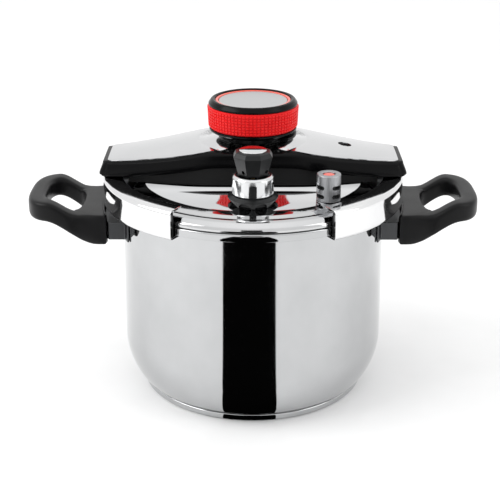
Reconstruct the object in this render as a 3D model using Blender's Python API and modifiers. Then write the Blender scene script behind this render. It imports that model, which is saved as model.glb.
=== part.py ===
"""A 22 cm pressure cooker whose lid is held by two sliding jaws, modelled piece by piece.

The pot stands on z = 0 with its axis on Z. The jaws slide along X, driven by one knob on top
of the bridge. The steam valve faces the front, which is -Y.
"""

import math

import bmesh
import bpy
from mathutils import Matrix, Vector

MM = 0.001
GAP = 0.3 * MM  # between pieces that touch on the real cooker
RUNNING = 0.4 * MM  # round a piece that turns or slides

# Pot
POT_RADIUS = 110.8 * MM
POT_WALL = 0.8 * MM
RIM_HEIGHT = 173.0 * MM
FLANGE_REACH = 9.2 * MM
FLANGE_DEPTH = 6.4 * MM
FLANGE_SHEET = 1.1 * MM
BELLY_HEIGHT = 45.0 * MM
BELLY_ROUND = 58.0 * MM
BASE_INSET = 15.4 * MM
BASE_RADIUS = POT_RADIUS - BASE_INSET
BASE_THICKNESS = 6.0 * MM
CAPSULE_SHEET = 0.8 * MM

# Lid
LID_SHEET = 1.1 * MM
LID_RISE = 9.5 * MM  # top of the flat middle above the pot's rim
LID_SHOULDER = 17.8 * MM
LID_CREASE = 5.3 * MM
LID_FLAT_RADIUS = POT_RADIUS - LID_SHOULDER
LID_CREASE_RADIUS = POT_RADIUS - LID_CREASE
LID_SKIRT_OVERHANG = 0.9 * MM
GASKET_WIDTH = 6.0 * MM

# Jaws
JAW_STANDOFF = 6.5 * MM  # outside of the jaws beyond the pot's rim
JAW_RADIUS = POT_RADIUS + FLANGE_REACH + JAW_STANDOFF
JAW_SHEET = 1.8 * MM
JAW_HALF_ANGLE = math.radians(60)
JAW_TOP_REACH = 16.0 * MM
JAW_LIP_REACH = 12.5 * MM
JAW_TRAVEL = 14.0 * MM
JAW_LINER = 3.4 * MM
LIP_CLEARANCE = 0.9 * MM
JAW_HEIGHT_OVER_LID = 5.6 * MM

# Jaw arms, cam and knob drive
ARM_WIDTH = 24.0 * MM
ARM_SHEET = 1.8 * MM
CAM_SHEET = 3.0 * MM
CAM_START = 14.0 * MM
CAM_EDGE = 1.9 * MM  # left outside the pin at the end of its groove
KNOB_TURN = math.radians(120)
PIN_RADIUS = 2.5 * MM
CAM_RADIUS = CAM_START + JAW_TRAVEL + PIN_RADIUS + CAM_EDGE
STUD_RADIUS = 4.0 * MM
STUD_SPACE = 19.6 * MM
STUD_X = CAM_RADIUS + STUD_SPACE
AXLE_RADIUS = 5.0 * MM
SHAFT_RADIUS = 9.0 * MM
RIVET_Y = 17.0 * MM

# Bridge
BRIDGE_SETBACK = 2.0 * MM
BRIDGE_HALF_LENGTH = JAW_RADIUS - BRIDGE_SETBACK
BRIDGE_END_WIDTH = 25.6 * MM
BRIDGE_FLARE = 0.205
BRIDGE_END_HEIGHT = 13.2 * MM  # top edge above the jaws at the two ends
BRIDGE_RISE = 12.0 * MM  # from the ends to the middle
BRIDGE_CROWN = 3.0 * MM
BRIDGE_SIDE = 12.8 * MM
BRIDGE_WALL = 2.4 * MM
BRIDGE_END_SLANT = 3.6 * MM
COVER_SHEET = 1.0 * MM
COVER_MARGIN = 3.2 * MM
COVER_START = 19.0 * MM
BEAM_SETBACK = 7.8 * MM
BEAM_HALF_LENGTH = POT_RADIUS - BEAM_SETBACK
BEAM_INSET = 5.6 * MM
BEAM_SHEET = 1.6 * MM
BEAM_SPACE = 1.4 * MM  # round the cam
BRIDGE_HUB_WIDTH = CAM_RADIUS + BEAM_SPACE + BEAM_SHEET + BEAM_INSET
SCREW_RADIUS = 2.0 * MM

# Knob
KNOB_RADIUS = 37.8 * MM
KNOB_LOWER_RADIUS = 36.4 * MM
KNOB_GRIP_HEIGHT = 18.8 * MM
KNOB_FOOT = 5.6 * MM
KNOB_RING_HEIGHT = 3.0 * MM
KNOB_NECK_RADIUS = 29.0 * MM
KNOB_CORE_RADIUS = 33.0 * MM
KNOB_CLEARANCE = 0.9 * MM
BEZEL_HEIGHT = 5.0 * MM
CAP_RADIUS = 28.7 * MM
ACCENT_WIDTH = 2.4 * MM
POINTER_HALF_ANGLE = math.radians(24)
POINTER_DIRECTION = math.radians(-14)

# Steam valve
VALVE_SPACE = 12.0 * MM
VALVE_SEAT_RADIUS = 8.0 * MM
VALVE_BASE_RADIUS = 20.0 * MM
VALVE_Y = -(BRIDGE_HUB_WIDTH + VALVE_SPACE + VALVE_BASE_RADIUS)
VALVE_BASE_HEIGHT = 7.8 * MM
VALVE_SCALLOPS = 8
COLLAR_RADIUS = 16.6 * MM
COLLAR_HEIGHT = 15.6 * MM
SELECTOR_LOWER_RADIUS = 12.2 * MM
SELECTOR_UPPER_RADIUS = 16.4 * MM
SELECTOR_HEIGHT = 19.0 * MM
VALVE_WIRE = 0.7 * MM

# Pressure indicator and lock pin
INDICATOR_PLACE = Vector((60.2, -64.0, 0)) * MM
INDICATOR_RADIUS = 9.7 * MM
INDICATOR_HEIGHT = 21.5 * MM
INDICATOR_PIN_RADIUS = 4.6 * MM
INDICATOR_RISE = 4.0 * MM
LOCK_SPACE = 11.0 * MM
LOCK_X = STUD_X + JAW_TRAVEL + LOCK_SPACE
LOCK_PIN_RADIUS = 2.6 * MM
LOCK_HOLE_RADIUS = 5.6 * MM

# Side handles
HANDLE_STANDOFF = 15.2 * MM
HANDLE_LENGTH = 63.0 * MM
HANDLE_INNER_RADIUS = POT_RADIUS + HANDLE_STANDOFF
HANDLE_REACH = HANDLE_INNER_RADIUS + HANDLE_LENGTH
HANDLE_HALF_WIDTH = 41.0 * MM
HANDLE_ROOT = 18.0 * MM
HANDLE_BAR = 15.0 * MM
HANDLE_HOLE_START = HANDLE_INNER_RADIUS + HANDLE_ROOT
HANDLE_HOLE_END = HANDLE_REACH - HANDLE_BAR
HANDLE_HOLE_HALF_WIDTH = 28.0 * MM
HANDLE_DROP = 13.0 * MM  # below the pot's rim
HANDLE_DEPTH = 25.5 * MM
HANDLE_TOP = RIM_HEIGHT - HANDLE_DROP
HANDLE_BOTTOM = HANDLE_TOP - HANDLE_DEPTH
HANDLE_LIFT_TOP = 11.0 * MM
HANDLE_LIFT_BOTTOM = 20.0 * MM
BRACKET_HALF_WIDTH = 38.0 * MM
BRACKET_RAISE = 3.5 * MM
BRACKET_BOTTOM = HANDLE_BOTTOM + BRACKET_RAISE
BRACKET_HEIGHT = 15.0 * MM
BRACKET_SHEET = 1.5 * MM
BRACKET_TAB = 6.5 * MM
TONGUE_HALF_WIDTH = 18.0 * MM
TONGUE_LENGTH = 13.0 * MM
TONGUE_SHEET = 4.0 * MM

# Heights that follow from the sizes above
FLANGE_RADIUS = POT_RADIUS + FLANGE_REACH
LID_TOP = RIM_HEIGHT + LID_RISE
LID_RADIUS = FLANGE_RADIUS - 0.4 * MM
JAW_TOP = LID_TOP + JAW_HEIGHT_OVER_LID
LIP_TOP = RIM_HEIGHT - FLANGE_DEPTH - LIP_CLEARANCE
ARM_TOP = JAW_TOP - JAW_SHEET - GAP
CAM_BOTTOM = ARM_TOP + RUNNING
BRIDGE_TOP_END = JAW_TOP + BRIDGE_END_HEIGHT
BRIDGE_TOP_HUB = BRIDGE_TOP_END + BRIDGE_RISE
KNOB_BOTTOM = BRIDGE_TOP_HUB + BRIDGE_CROWN + KNOB_CLEARANCE
GRIP_BOTTOM = KNOB_BOTTOM + KNOB_FOOT + KNOB_RING_HEIGHT
GRIP_TOP = GRIP_BOTTOM + KNOB_GRIP_HEIGHT
PIN_RATE = JAW_TRAVEL / KNOB_TURN

# Flat sides of a turned piece
LARGE_ROUND = 32
KNOB_ROUND = 28
SMALL_ROUND = 16

STEEL = ("#D2D3D5", 1.0, 0.12)
SATIN_STEEL = ("#B4B6B9", 1.0, 0.35)
ALUMINIUM = ("#C9CBCE", 1.0, 0.4)
BLACK_PLASTIC = ("#17181A", 0.0, 0.35)
BAKELITE = ("#1E1F21", 0.0, 0.45)
RED_RUBBER = ("#CF0A14", 0.0, 0.5)
RED_PLASTIC = ("#E0462F", 0.0, 0.35)
GREY_METAL = ("#8B8C8F", 0.9, 0.35)
GREY_RUBBER = ("#8E8F8C", 0.0, 0.7)
BRASS = ("#B9A063", 1.0, 0.3)


def clear_scene():
    """Remove whatever the scene already holds."""
    for obj in list(bpy.data.objects):
        bpy.data.objects.remove(obj, do_unlink=True)


def new_collection(name):
    """Make a collection in the scene and return it."""
    collection = bpy.data.collections.new(name)
    bpy.context.scene.collection.children.link(collection)
    return collection


def linear(value):
    """Turn one sRGB channel into linear light."""
    return value / 12.92 if value <= 0.04045 else ((value + 0.055) / 1.055) ** 2.4


def add_material(obj, look):
    """Give the object a Principled material of its own."""
    colour, metallic, roughness = look
    material = bpy.data.materials.new(obj.name)
    material.use_nodes = True
    shader = material.node_tree.nodes["Principled BSDF"]
    channels = [int(colour[i : i + 2], 16) / 255 for i in (1, 3, 5)]
    shader.inputs["Base Color"].default_value = [linear(c) for c in channels] + [1]
    shader.inputs["Metallic"].default_value = metallic
    shader.inputs["Roughness"].default_value = roughness
    obj.data.materials.clear()
    obj.data.materials.append(material)


def add_object(name, data, look, place=(0, 0, 0), parent=None):
    """Put a mesh or curve in the cooker's collection, as a child of a joint's empty if given."""
    obj = bpy.data.objects.new(name, data)
    parts.objects.link(obj)
    obj.location = Vector(place)
    if parent:
        obj.parent = parent
        obj.location -= parent.location
    add_material(obj, look)
    return obj


def add_axis(name, place):
    """An empty on a joint's axis, for the pieces that move together."""
    empty = bpy.data.objects.new(name, None)
    empty.location = Vector(place)
    empty.empty_display_size = 10 * MM
    parts.objects.link(empty)
    return empty


def round_shading(mesh, angle=35):
    """Shade a turned or lofted mesh smooth, with its sharp edges kept."""
    mesh.shade_smooth()
    mesh.set_sharp_from_angle(angle=math.radians(angle))


def arc(centre, radius, start, end, steps):
    """Points on an arc in a turned profile, from one angle in degrees to another."""
    points = []
    for i in range(steps + 1):
        angle = math.radians(start + (end - start) * i / steps)
        points.append((centre[0] + radius * math.cos(angle), centre[1] + radius * math.sin(angle)))
    return points


def turned(name, profile, look, steps=SMALL_ROUND, place=(0, 0, 0), parent=None):
    """Turn a profile of (radius, height) points round Z with a Screw modifier."""
    area = sum(a[0] * b[1] - b[0] * a[1] for a, b in zip(profile, profile[1:] + profile[:1]))
    points = profile if area < 0 else profile[::-1]
    open_profile = profile[0][0] == 0 and profile[-1][0] == 0
    mesh = bpy.data.meshes.new(name)
    count = len(points)
    edges = [(i, (i + 1) % count) for i in range(count - open_profile)]
    mesh.from_pydata([(r, 0, z) for r, z in points], edges, [])
    obj = add_object(name, mesh, look, place, parent)
    screw = obj.modifiers.new("turn", "SCREW")
    screw.steps = screw.render_steps = steps
    screw.use_merge_vertices = True
    screw.merge_threshold = 0.00001
    screw.use_smooth_shade = True
    return obj


def tube_profile(inner, outer, bottom, top, chamfer=0.0):
    """A ring's profile, with its two outer corners cut."""
    return [
        (inner, top),
        (outer - chamfer, top),
        (outer, top - chamfer),
        (outer, bottom + chamfer),
        (outer - chamfer, bottom),
        (inner, bottom),
    ]


def tube(name, inner, outer, bottom, top, look, steps=SMALL_ROUND, place=(0, 0, 0), parent=None, chamfer=0.0):
    """A plain ring or sleeve round Z."""
    profile = tube_profile(inner, outer, bottom, top, chamfer)
    if chamfer == 0:
        profile = [(inner, top), (outer, top), (outer, bottom), (inner, bottom)]
    return turned(name, profile, look, steps, place, parent)


def circle(centre, radius, count=20):
    """An outline of a round hole or disc."""
    angles = [2 * math.pi * i / count for i in range(count)]
    return [(centre[0] + radius * math.cos(a), centre[1] + radius * math.sin(a)) for a in angles]


def swept_slot(path, radius):
    """The outline that a round pin sweeps along a path of points."""
    path = [Vector(p) for p in path]
    sides = ([], [])
    for i, point in enumerate(path):
        along = (path[min(i + 1, len(path) - 1)] - path[max(i - 1, 0)]).normalized()
        across = Vector((-along.y, along.x))
        sides[0].append(point + across * radius)
        sides[1].append(point - across * radius)
    outline = list(sides[0])
    for end, previous, side in ((path[-1], path[-2], 1), (path[0], path[1], -1)):
        along = (end - previous).normalized()
        start = math.atan2(along.y, along.x) + math.pi / 2
        for i in range(1, 6):
            angle = start - math.pi * i / 6
            outline.append(end + radius * Vector((math.cos(angle), math.sin(angle))))
        if side == 1:
            outline.extend(reversed(sides[1]))
    return [(p.x, p.y) for p in outline]


def plate(name, outlines, bottom, top, look, place=(0, 0, 0), parent=None):
    """A flat plate from closed outlines. Each outline inside the first makes a hole."""
    curve = bpy.data.curves.new(name, "CURVE")
    curve.dimensions = "2D"
    curve.fill_mode = "BOTH"
    curve.extrude = (top - bottom) / 2
    for outline in outlines:
        spline = curve.splines.new("POLY")
        spline.points.add(len(outline) - 1)
        for point, (x, y) in zip(spline.points, outline):
            point.co = (x, y, 0, 1)
        spline.use_cyclic_u = True
    middle = Vector(place) + Vector((0, 0, (top + bottom) / 2))
    return add_object(name, curve, look, middle, parent)


def box_mesh(name, low, high):
    """A box between two corners."""
    mesh = bpy.data.meshes.new(name)
    box = bmesh.new()
    low, high = Vector(low), Vector(high)
    bmesh.ops.create_cube(box, size=1)
    bmesh.ops.scale(box, verts=box.verts, vec=high - low)
    bmesh.ops.translate(box, verts=box.verts, vec=(low + high) / 2)
    box.to_mesh(mesh)
    box.free()
    return mesh


def rod_mesh(name, radius, bottom, top, sides=24, upper_radius=None):
    """A round, hexagonal or tapered bar that stands on Z."""
    mesh = bpy.data.meshes.new(name)
    rod = bmesh.new()
    bmesh.ops.create_cone(
        rod,
        cap_ends=True,
        segments=sides,
        radius1=radius,
        radius2=radius if upper_radius is None else upper_radius,
        depth=top - bottom,
    )
    bmesh.ops.translate(rod, verts=rod.verts, vec=(0, 0, (top + bottom) / 2))
    rod.to_mesh(mesh)
    rod.free()
    return mesh


def cut(obj, mesh, place=(0, 0, 0), turn=None, operation="DIFFERENCE"):
    """Cut a mesh out of an object, or join it on, with the cutter kept as a wire helper."""
    cutter = bpy.data.objects.new(f"{obj.name}_cutter_{len(obj.modifiers)}", mesh)
    cutters.objects.link(cutter)
    cutter.hide_render = True
    cutter.display_type = "WIRE"
    cutter.matrix_world = Matrix.Translation(Vector(place)) @ (turn or Matrix.Identity(4))
    boolean = obj.modifiers.new(cutter.name, "BOOLEAN")
    boolean.operation = operation
    boolean.object = cutter
    boolean.solver = "EXACT"
    return cutter


def grid_mesh(name, rows):
    """A sheet through rows of points, each row as long as the others."""
    mesh = bpy.data.meshes.new(name)
    width = len(rows[0])
    faces = []
    for i in range(len(rows) - 1):
        for j in range(width - 1):
            a = i * width + j
            faces.append((a, a + width, a + width + 1, a + 1))
    mesh.from_pydata([point for row in rows for point in row], [], faces)
    sheet = bmesh.new()
    sheet.from_mesh(mesh)
    bmesh.ops.recalc_face_normals(sheet, faces=sheet.faces)
    if sum(face.normal.z for face in sheet.faces) < 0:
        bmesh.ops.reverse_faces(sheet, faces=sheet.faces)
    sheet.to_mesh(mesh)
    sheet.free()
    return mesh


def solidify(obj, thickness):
    """Give a sheet its thickness on the inner side."""
    shell = obj.modifiers.new("thickness", "SOLIDIFY")
    shell.thickness = thickness
    shell.offset = -1
    shell.use_even_offset = True


def mirrored_x(mesh, name):
    """A copy of a mesh for the other side of the cooker."""
    copy = mesh.copy()
    copy.name = name
    copy.transform(Matrix.Scale(-1, 4, (1, 0, 0)))
    copy.flip_normals()
    return copy


# Pot, base and lid


def belly_radius(height):
    """Outer radius of the pot's rounded lower wall."""
    drop = BELLY_HEIGHT - height
    return POT_RADIUS - BELLY_ROUND + math.sqrt(BELLY_ROUND**2 - drop**2)


def make_pot():
    """The drawn steel pot, with a turned-down flange round its rim."""
    floor = BASE_THICKNESS + GAP
    steps = 5
    corner = floor + 2.2 * MM
    heights = [BELLY_HEIGHT + (corner - BELLY_HEIGHT) * i / steps for i in range(steps + 1)]
    outer = [(belly_radius(z), z) for z in heights]
    inner = [(r - POT_WALL, z + POT_WALL * (BELLY_HEIGHT - z) / BELLY_HEIGHT) for r, z in outer]
    under = RIM_HEIGHT - FLANGE_SHEET
    hem = FLANGE_RADIUS - FLANGE_SHEET
    profile = [
        (POT_RADIUS - POT_WALL, RIM_HEIGHT - 3 * MM),
        (POT_RADIUS + 1.4 * MM, RIM_HEIGHT),
        *arc((FLANGE_RADIUS - 1.5 * MM, RIM_HEIGHT - 1.5 * MM), 1.5 * MM, 90, 0, 3),
        (FLANGE_RADIUS, RIM_HEIGHT - FLANGE_DEPTH),
        (hem, RIM_HEIGHT - FLANGE_DEPTH),
        (hem, under),
        (POT_RADIUS + 2.4 * MM, under),
        (POT_RADIUS, under - 2.4 * MM),
        *outer,
        (outer[-1][0] - 3.4 * MM, floor),
        (0, floor),
    ]
    inside = [
        (0, floor + POT_WALL),
        (inner[-1][0] - 3.6 * MM, floor + POT_WALL),
        *reversed(inner),
    ]
    turned("pot_shell", inside + profile, STEEL, LARGE_ROUND)


def make_base():
    """The aluminium heat spreader and the steel capsule pressed over it."""
    top = BASE_THICKNESS
    round_edge = 1.6 * MM
    outer = arc((BASE_RADIUS - round_edge, round_edge), round_edge, 0, -90, 3)
    capsule = [
        (0, 0),
        *reversed(outer),
        (BASE_RADIUS, top),
        (BASE_RADIUS - CAPSULE_SHEET, top),
        (BASE_RADIUS - CAPSULE_SHEET, round_edge),
        (BASE_RADIUS - CAPSULE_SHEET - round_edge, CAPSULE_SHEET),
        (0, CAPSULE_SHEET),
    ]
    turned("base_capsule", capsule, STEEL, LARGE_ROUND)
    core_radius = BASE_RADIUS - CAPSULE_SHEET - GAP
    core = [
        (0, top),
        (core_radius, top),
        (core_radius, round_edge + GAP),
        (core_radius - round_edge, CAPSULE_SHEET + GAP),
        (0, CAPSULE_SHEET + GAP),
    ]
    turned("base_core_disc", core, ALUMINIUM, LARGE_ROUND)


def lid_profile(drop):
    """Half of the lid's section from the middle outwards, drop below its upper surface."""
    crease = LID_TOP - 2.3 * MM
    rim = LID_RADIUS - drop
    return [
        (0, LID_TOP - drop),
        (LID_FLAT_RADIUS, LID_TOP - drop),
        (LID_FLAT_RADIUS + 4 * MM, LID_TOP - 0.2 * MM - drop),
        (LID_FLAT_RADIUS + 8 * MM, LID_TOP - 0.9 * MM - drop),
        (LID_CREASE_RADIUS, crease - drop),
        (LID_CREASE_RADIUS + 2 * MM, crease + 0.6 * MM - drop),
        (LID_CREASE_RADIUS + 5 * MM, crease + 0.9 * MM - drop),
        (LID_CREASE_RADIUS + 9 * MM, crease + 0.2 * MM - drop),
        (rim - 1.2 * MM, crease - 2.6 * MM - drop / 3),
        (rim, crease - 4.6 * MM),
        (rim, RIM_HEIGHT + LID_SKIRT_OVERHANG),
    ]


def make_lid():
    """The pressed steel lid with its holes for valve, indicator and lock pin, and its gasket."""
    lower = lid_profile(LID_SHEET)
    lid = turned("lid_disc", lid_profile(0) + lower[::-1], STEEL, LARGE_ROUND)
    low, high = LID_TOP - 5 * MM, LID_TOP + 5 * MM
    holes = (
        ("valve_hole", (0, VALVE_Y, 0), VALVE_SEAT_RADIUS),
        ("indicator_hole", INDICATOR_PLACE, INDICATOR_PIN_RADIUS + 1.9 * MM),
        ("lock_hole", (LOCK_X, 0, 0), LOCK_PIN_RADIUS + 2.6 * MM),
    )
    for name, place, radius in holes:
        cut(lid, rod_mesh(name, radius + GAP, low, high), place)
    outer = LID_RADIUS - LID_SHEET - 2.0 * MM
    top = LID_TOP - 2.3 * MM - 4.4 * MM
    gasket = [
        (outer - GASKET_WIDTH, RIM_HEIGHT + GAP),
        (outer, RIM_HEIGHT + GAP),
        (outer, top),
        (outer - GASKET_WIDTH + 1.2 * MM, top + 1.2 * MM),
        (outer - GASKET_WIDTH, top),
    ]
    turned("sealing_gasket", gasket, GREY_RUBBER, LARGE_ROUND)


# Jaws and their drive


def spun_section(name, section, start, end, steps):
    """Sweep a flat section of (radius, height) points round Z between two angles."""
    mesh = bpy.data.meshes.new(name)
    body = bmesh.new()
    corners = [body.verts.new((r * math.cos(start), r * math.sin(start), z)) for r, z in section]
    face = body.faces.new(corners)
    bmesh.ops.spin(
        body,
        geom=[face, *face.edges, *face.verts],
        axis=(0, 0, 1),
        angle=end - start,
        steps=steps,
    )
    bmesh.ops.recalc_face_normals(body, faces=body.faces)
    body.to_mesh(mesh)
    body.free()
    return mesh


def make_jaw(side, axis):
    """One C-shaped jaw with its liner, arm, rivets and drive pin."""
    name = "right" if side > 0 else "left"
    bottom = LIP_TOP - JAW_SHEET
    inner = JAW_RADIUS - JAW_SHEET
    edge = 1.2 * MM
    section = [
        (JAW_RADIUS - JAW_TOP_REACH, JAW_TOP),
        (JAW_RADIUS - edge, JAW_TOP),
        (JAW_RADIUS, JAW_TOP - edge),
        (JAW_RADIUS, bottom + edge),
        (JAW_RADIUS - edge, bottom),
        (JAW_RADIUS - JAW_LIP_REACH, bottom),
        (JAW_RADIUS - JAW_LIP_REACH, LIP_TOP),
        (inner, LIP_TOP),
        (inner, JAW_TOP - JAW_SHEET),
        (JAW_RADIUS - JAW_TOP_REACH, JAW_TOP - JAW_SHEET),
    ]
    middle = 0 if side > 0 else math.pi
    start, end = middle - JAW_HALF_ANGLE, middle + JAW_HALF_ANGLE
    jaw = add_object(f"{name}_jaw", spun_section("jaw", section, start, end, 20), STEEL, parent=axis)
    jaw.location = -axis.location
    round_shading(jaw.data)
    for y in (-RIVET_Y, RIVET_Y):
        hole = rod_mesh("rivet_hole", PIN_RADIUS + GAP, JAW_TOP - 5 * MM, JAW_TOP + 5 * MM, 12)
        cut(jaw, hole, (side * rivet_x(), y, 0))

    liner_low, liner_high = LIP_TOP + GAP, JAW_TOP - JAW_SHEET - GAP
    liner_outer = inner - GAP
    liner_section = [
        (liner_outer - JAW_LINER, liner_high),
        (liner_outer, liner_high),
        (liner_outer, liner_low),
        (liner_outer - JAW_LINER, liner_low),
    ]
    inset = math.radians(0.4)
    liner = spun_section("liner", liner_section, start + inset, end - inset, 16)
    add_object(f"{name}_jaw_liner", liner, BLACK_PLASTIC, parent=axis).location = -axis.location

    make_arm(name, side, axis)
    for row, y in (("front", -RIVET_Y), ("rear", RIVET_Y)):
        make_rivet(f"{name}_jaw_rivet_{row}", (side * rivet_x(), y, 0), axis)
    pin = rod_mesh("pin", PIN_RADIUS, ARM_TOP - ARM_SHEET - 0.4 * MM, CAM_BOTTOM + CAM_SHEET + 0.8 * MM)
    add_object(f"{name}_drive_pin", pin, SATIN_STEEL, (side * CAM_START, 0, 0), axis)


def rivet_x():
    """Distance of the jaw rivets from the pot's axis."""
    return JAW_RADIUS - JAW_TOP_REACH + 3.0 * MM


def make_arm(name, side, axis):
    """The flat arm that joins a jaw to the cam, slotted for the guide stud and the lock pin."""
    half = ARM_WIDTH / 2
    tip = rivet_x() + 4.6 * MM
    wide = RIVET_Y + 5.5 * MM
    waist = tip - 15 * MM
    inner_end = AXLE_RADIUS + 3 * MM
    outline = [
        (inner_end, -half),
        (waist - 8 * MM, -half),
        (waist, -wide),
        (tip, -wide),
        (tip, wide),
        (waist, wide),
        (waist - 8 * MM, half),
        (inner_end, half),
    ]
    slots = [
        circle((CAM_START, 0), PIN_RADIUS + GAP, 16),
        travel_slot(STUD_X, STUD_RADIUS + RUNNING),
        travel_slot(LOCK_X, LOCK_PIN_RADIUS + RUNNING),
        circle((rivet_x(), -RIVET_Y), PIN_RADIUS + GAP, 12),
        circle((rivet_x(), RIVET_Y), PIN_RADIUS + GAP, 12),
    ]
    outlines = [[(side * x, y) for x, y in loop] for loop in [outline, *slots]]
    plate(f"{name}_jaw_arm", outlines, ARM_TOP - ARM_SHEET, ARM_TOP, SATIN_STEEL, parent=axis)


def travel_slot(fixed_x, radius):
    """A slot in an arm that lets a fixed post stay clear over the jaw's travel."""
    return swept_slot([(fixed_x - JAW_TRAVEL, 0), (fixed_x, 0)], radius)


def make_rivet(name, place, axis):
    """A round-headed rivet through the jaw and its arm."""
    low = ARM_TOP - ARM_SHEET - 0.5 * MM
    high = JAW_TOP + GAP
    head = PIN_RADIUS + 1.1 * MM
    profile = [
        (0, high + 0.8 * MM),
        (head - 1 * MM, high + 0.8 * MM),
        (head, high),
        (PIN_RADIUS, high),
        (PIN_RADIUS, low),
        (0, low),
    ]
    turned(name, profile, SATIN_STEEL, 14, place, axis)


def make_cam(axis):
    """The cam disc: two spiral slots push the drive pins out as it turns, one on each side."""
    mesh_outlines = [circle((0, 0), CAM_RADIUS, 36), circle((0, 0), AXLE_RADIUS + RUNNING, 24)]
    for side in (0, math.pi):
        path = []
        steps = 14
        for i in range(steps + 1):
            turn = KNOB_TURN * i / steps
            radius = CAM_START + PIN_RATE * turn
            path.append((radius * math.cos(side - turn), radius * math.sin(side - turn)))
        mesh_outlines.append(swept_slot(path, PIN_RADIUS + RUNNING))
    top = CAM_BOTTOM + CAM_SHEET
    plate("cam_disc", mesh_outlines, CAM_BOTTOM, top, SATIN_STEEL, parent=axis)
    sleeve_top = GRIP_BOTTOM + 8 * MM
    inner = AXLE_RADIUS + RUNNING
    tube("knob_shaft", inner, SHAFT_RADIUS, top + GAP, sleeve_top, SATIN_STEEL, 24, parent=axis)


# Bridge


def bridge_half_width(x):
    """Half width of the bridge's housing at a distance from the pot's axis."""
    flare = BRIDGE_END_WIDTH + BRIDGE_FLARE * (BRIDGE_HALF_LENGTH - abs(x))
    return min(flare, BRIDGE_HUB_WIDTH)


def bridge_edge_height(x):
    """Height of the housing's upper edge."""
    share = max(0.0, 1 - abs(x) / BRIDGE_HALF_LENGTH)
    return min(BRIDGE_TOP_END + 21 * MM * share**1.65, BRIDGE_TOP_HUB)


def bridge_top(x, y):
    """Height of the crowned upper surface."""
    across = min(1.0, abs(y) / bridge_half_width(x))
    share = min(1.0, abs(x) / BRIDGE_HALF_LENGTH)
    return bridge_edge_height(x) + 4 * BRIDGE_CROWN * share * (1 - share) * (1 - across**2)


def housing_row(x, shrink=1.0, top=None, side=None):
    """One section of the housing's outside, from its front lower edge over to its rear one."""
    width = bridge_half_width(x) * shrink
    edge = bridge_edge_height(min(abs(x), BRIDGE_HALF_LENGTH))
    side = BRIDGE_SIDE if side is None else side
    low = edge - BRIDGE_SIDE
    flank = [
        (width - 2.2 * MM, low),
        (width, low + 2.4 * MM),
        (width - 0.6 * MM, edge - 2.6 * MM),
        (width - 2.0 * MM, edge - 0.6 * MM),
        (width - 4.0 * MM, None),
        (width * 0.45, None),
    ]
    half = []
    for y, z in flank:
        z = bridge_top(x, y) if z is None else z
        half.append((x, -y, min(z, top) if top is not None else z))
    middle = bridge_top(x, 0)
    row = half + [(x, 0, min(middle, top) if top is not None else middle)]
    return row + [(px, -py, pz) for px, py, pz in reversed(half)]


def make_housing():
    """The black moulded shell over the drive, open underneath."""
    inner = [i * BRIDGE_HALF_LENGTH / 8 for i in range(8)]
    end = BRIDGE_HALF_LENGTH
    low = bridge_edge_height(end) - BRIDGE_SIDE
    edge = bridge_edge_height(end)
    tip_rows = [
        housing_row(end - 2.0 * MM),
        housing_row(end, 0.985, edge - 1.2 * MM),
        housing_row(end + 0.6 * BRIDGE_END_SLANT, 0.965, low + 6.5 * MM),
        housing_row(end + BRIDGE_END_SLANT, 0.94, low + 1.5 * MM),
    ]
    half = [housing_row(x) for x in inner] + tip_rows
    rows = [[(-x, y, z) for x, y, z in row] for row in reversed(half[1:])] + half
    housing = add_object("bridge_housing", grid_mesh("housing", rows), BLACK_PLASTIC)
    round_shading(housing.data)
    solidify(housing, BRIDGE_WALL)
    low, high = BRIDGE_TOP_END - 5 * MM, KNOB_BOTTOM + 5 * MM
    cut(housing, rod_mesh("shaft_hole", SHAFT_RADIUS + 1.5 * MM, low, high))
    cut(housing, rod_mesh("lock_window", LOCK_PIN_RADIUS + 1.2 * MM, low, high), (LOCK_X, 0, 0))
    for side in (-1, 1):
        hole = rod_mesh("screw_hole", SCREW_RADIUS + GAP, low - 10 * MM, high, 12)
        cut(housing, hole, (side * STUD_X, 0, 0))
    return housing


def cover_half_width(x):
    """Half width of a steel cover plate, which rounds in towards the knob."""
    full = bridge_half_width(max(abs(x), 46 * MM)) - COVER_MARGIN
    if abs(x) >= 46 * MM:
        return full
    share = (46 * MM - abs(x)) / (46 * MM - COVER_START)
    narrow = 26 * MM
    return narrow + (full - narrow) * math.sqrt(max(0.0, 1 - share**2))


def make_cover(side):
    """One of the two polished plates that lie on the housing."""
    name = "right_cover_plate" if side > 0 else "left_cover_plate"
    near = [COVER_START + (46 * MM - COVER_START) * i / 4 for i in range(4)]
    end = BRIDGE_HALF_LENGTH - COVER_MARGIN
    far = [46 * MM + (end - 46 * MM) * i / 6 for i in range(7)]
    rows = []
    for x in near + far:
        width = cover_half_width(x)
        row = []
        for j in range(7):
            y = width * (j / 3 - 1)
            row.append((side * x, y, bridge_top(x, y) + GAP + COVER_SHEET))
        rows.append(row)
    cover = add_object(name, grid_mesh("cover", rows), STEEL)
    solidify(cover, COVER_SHEET)
    round_shading(cover.data)
    low, high = BRIDGE_TOP_END - 5 * MM, KNOB_BOTTOM + 5 * MM
    if side > 0:
        cut(cover, rod_mesh("pin_window", LOCK_HOLE_RADIUS, low, high), (LOCK_X, 0, 0))
    return cover


def beam_top(x):
    """Height of the steel beam under the housing."""
    return bridge_edge_height(x) - BRIDGE_SIDE + 3 * MM


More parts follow.
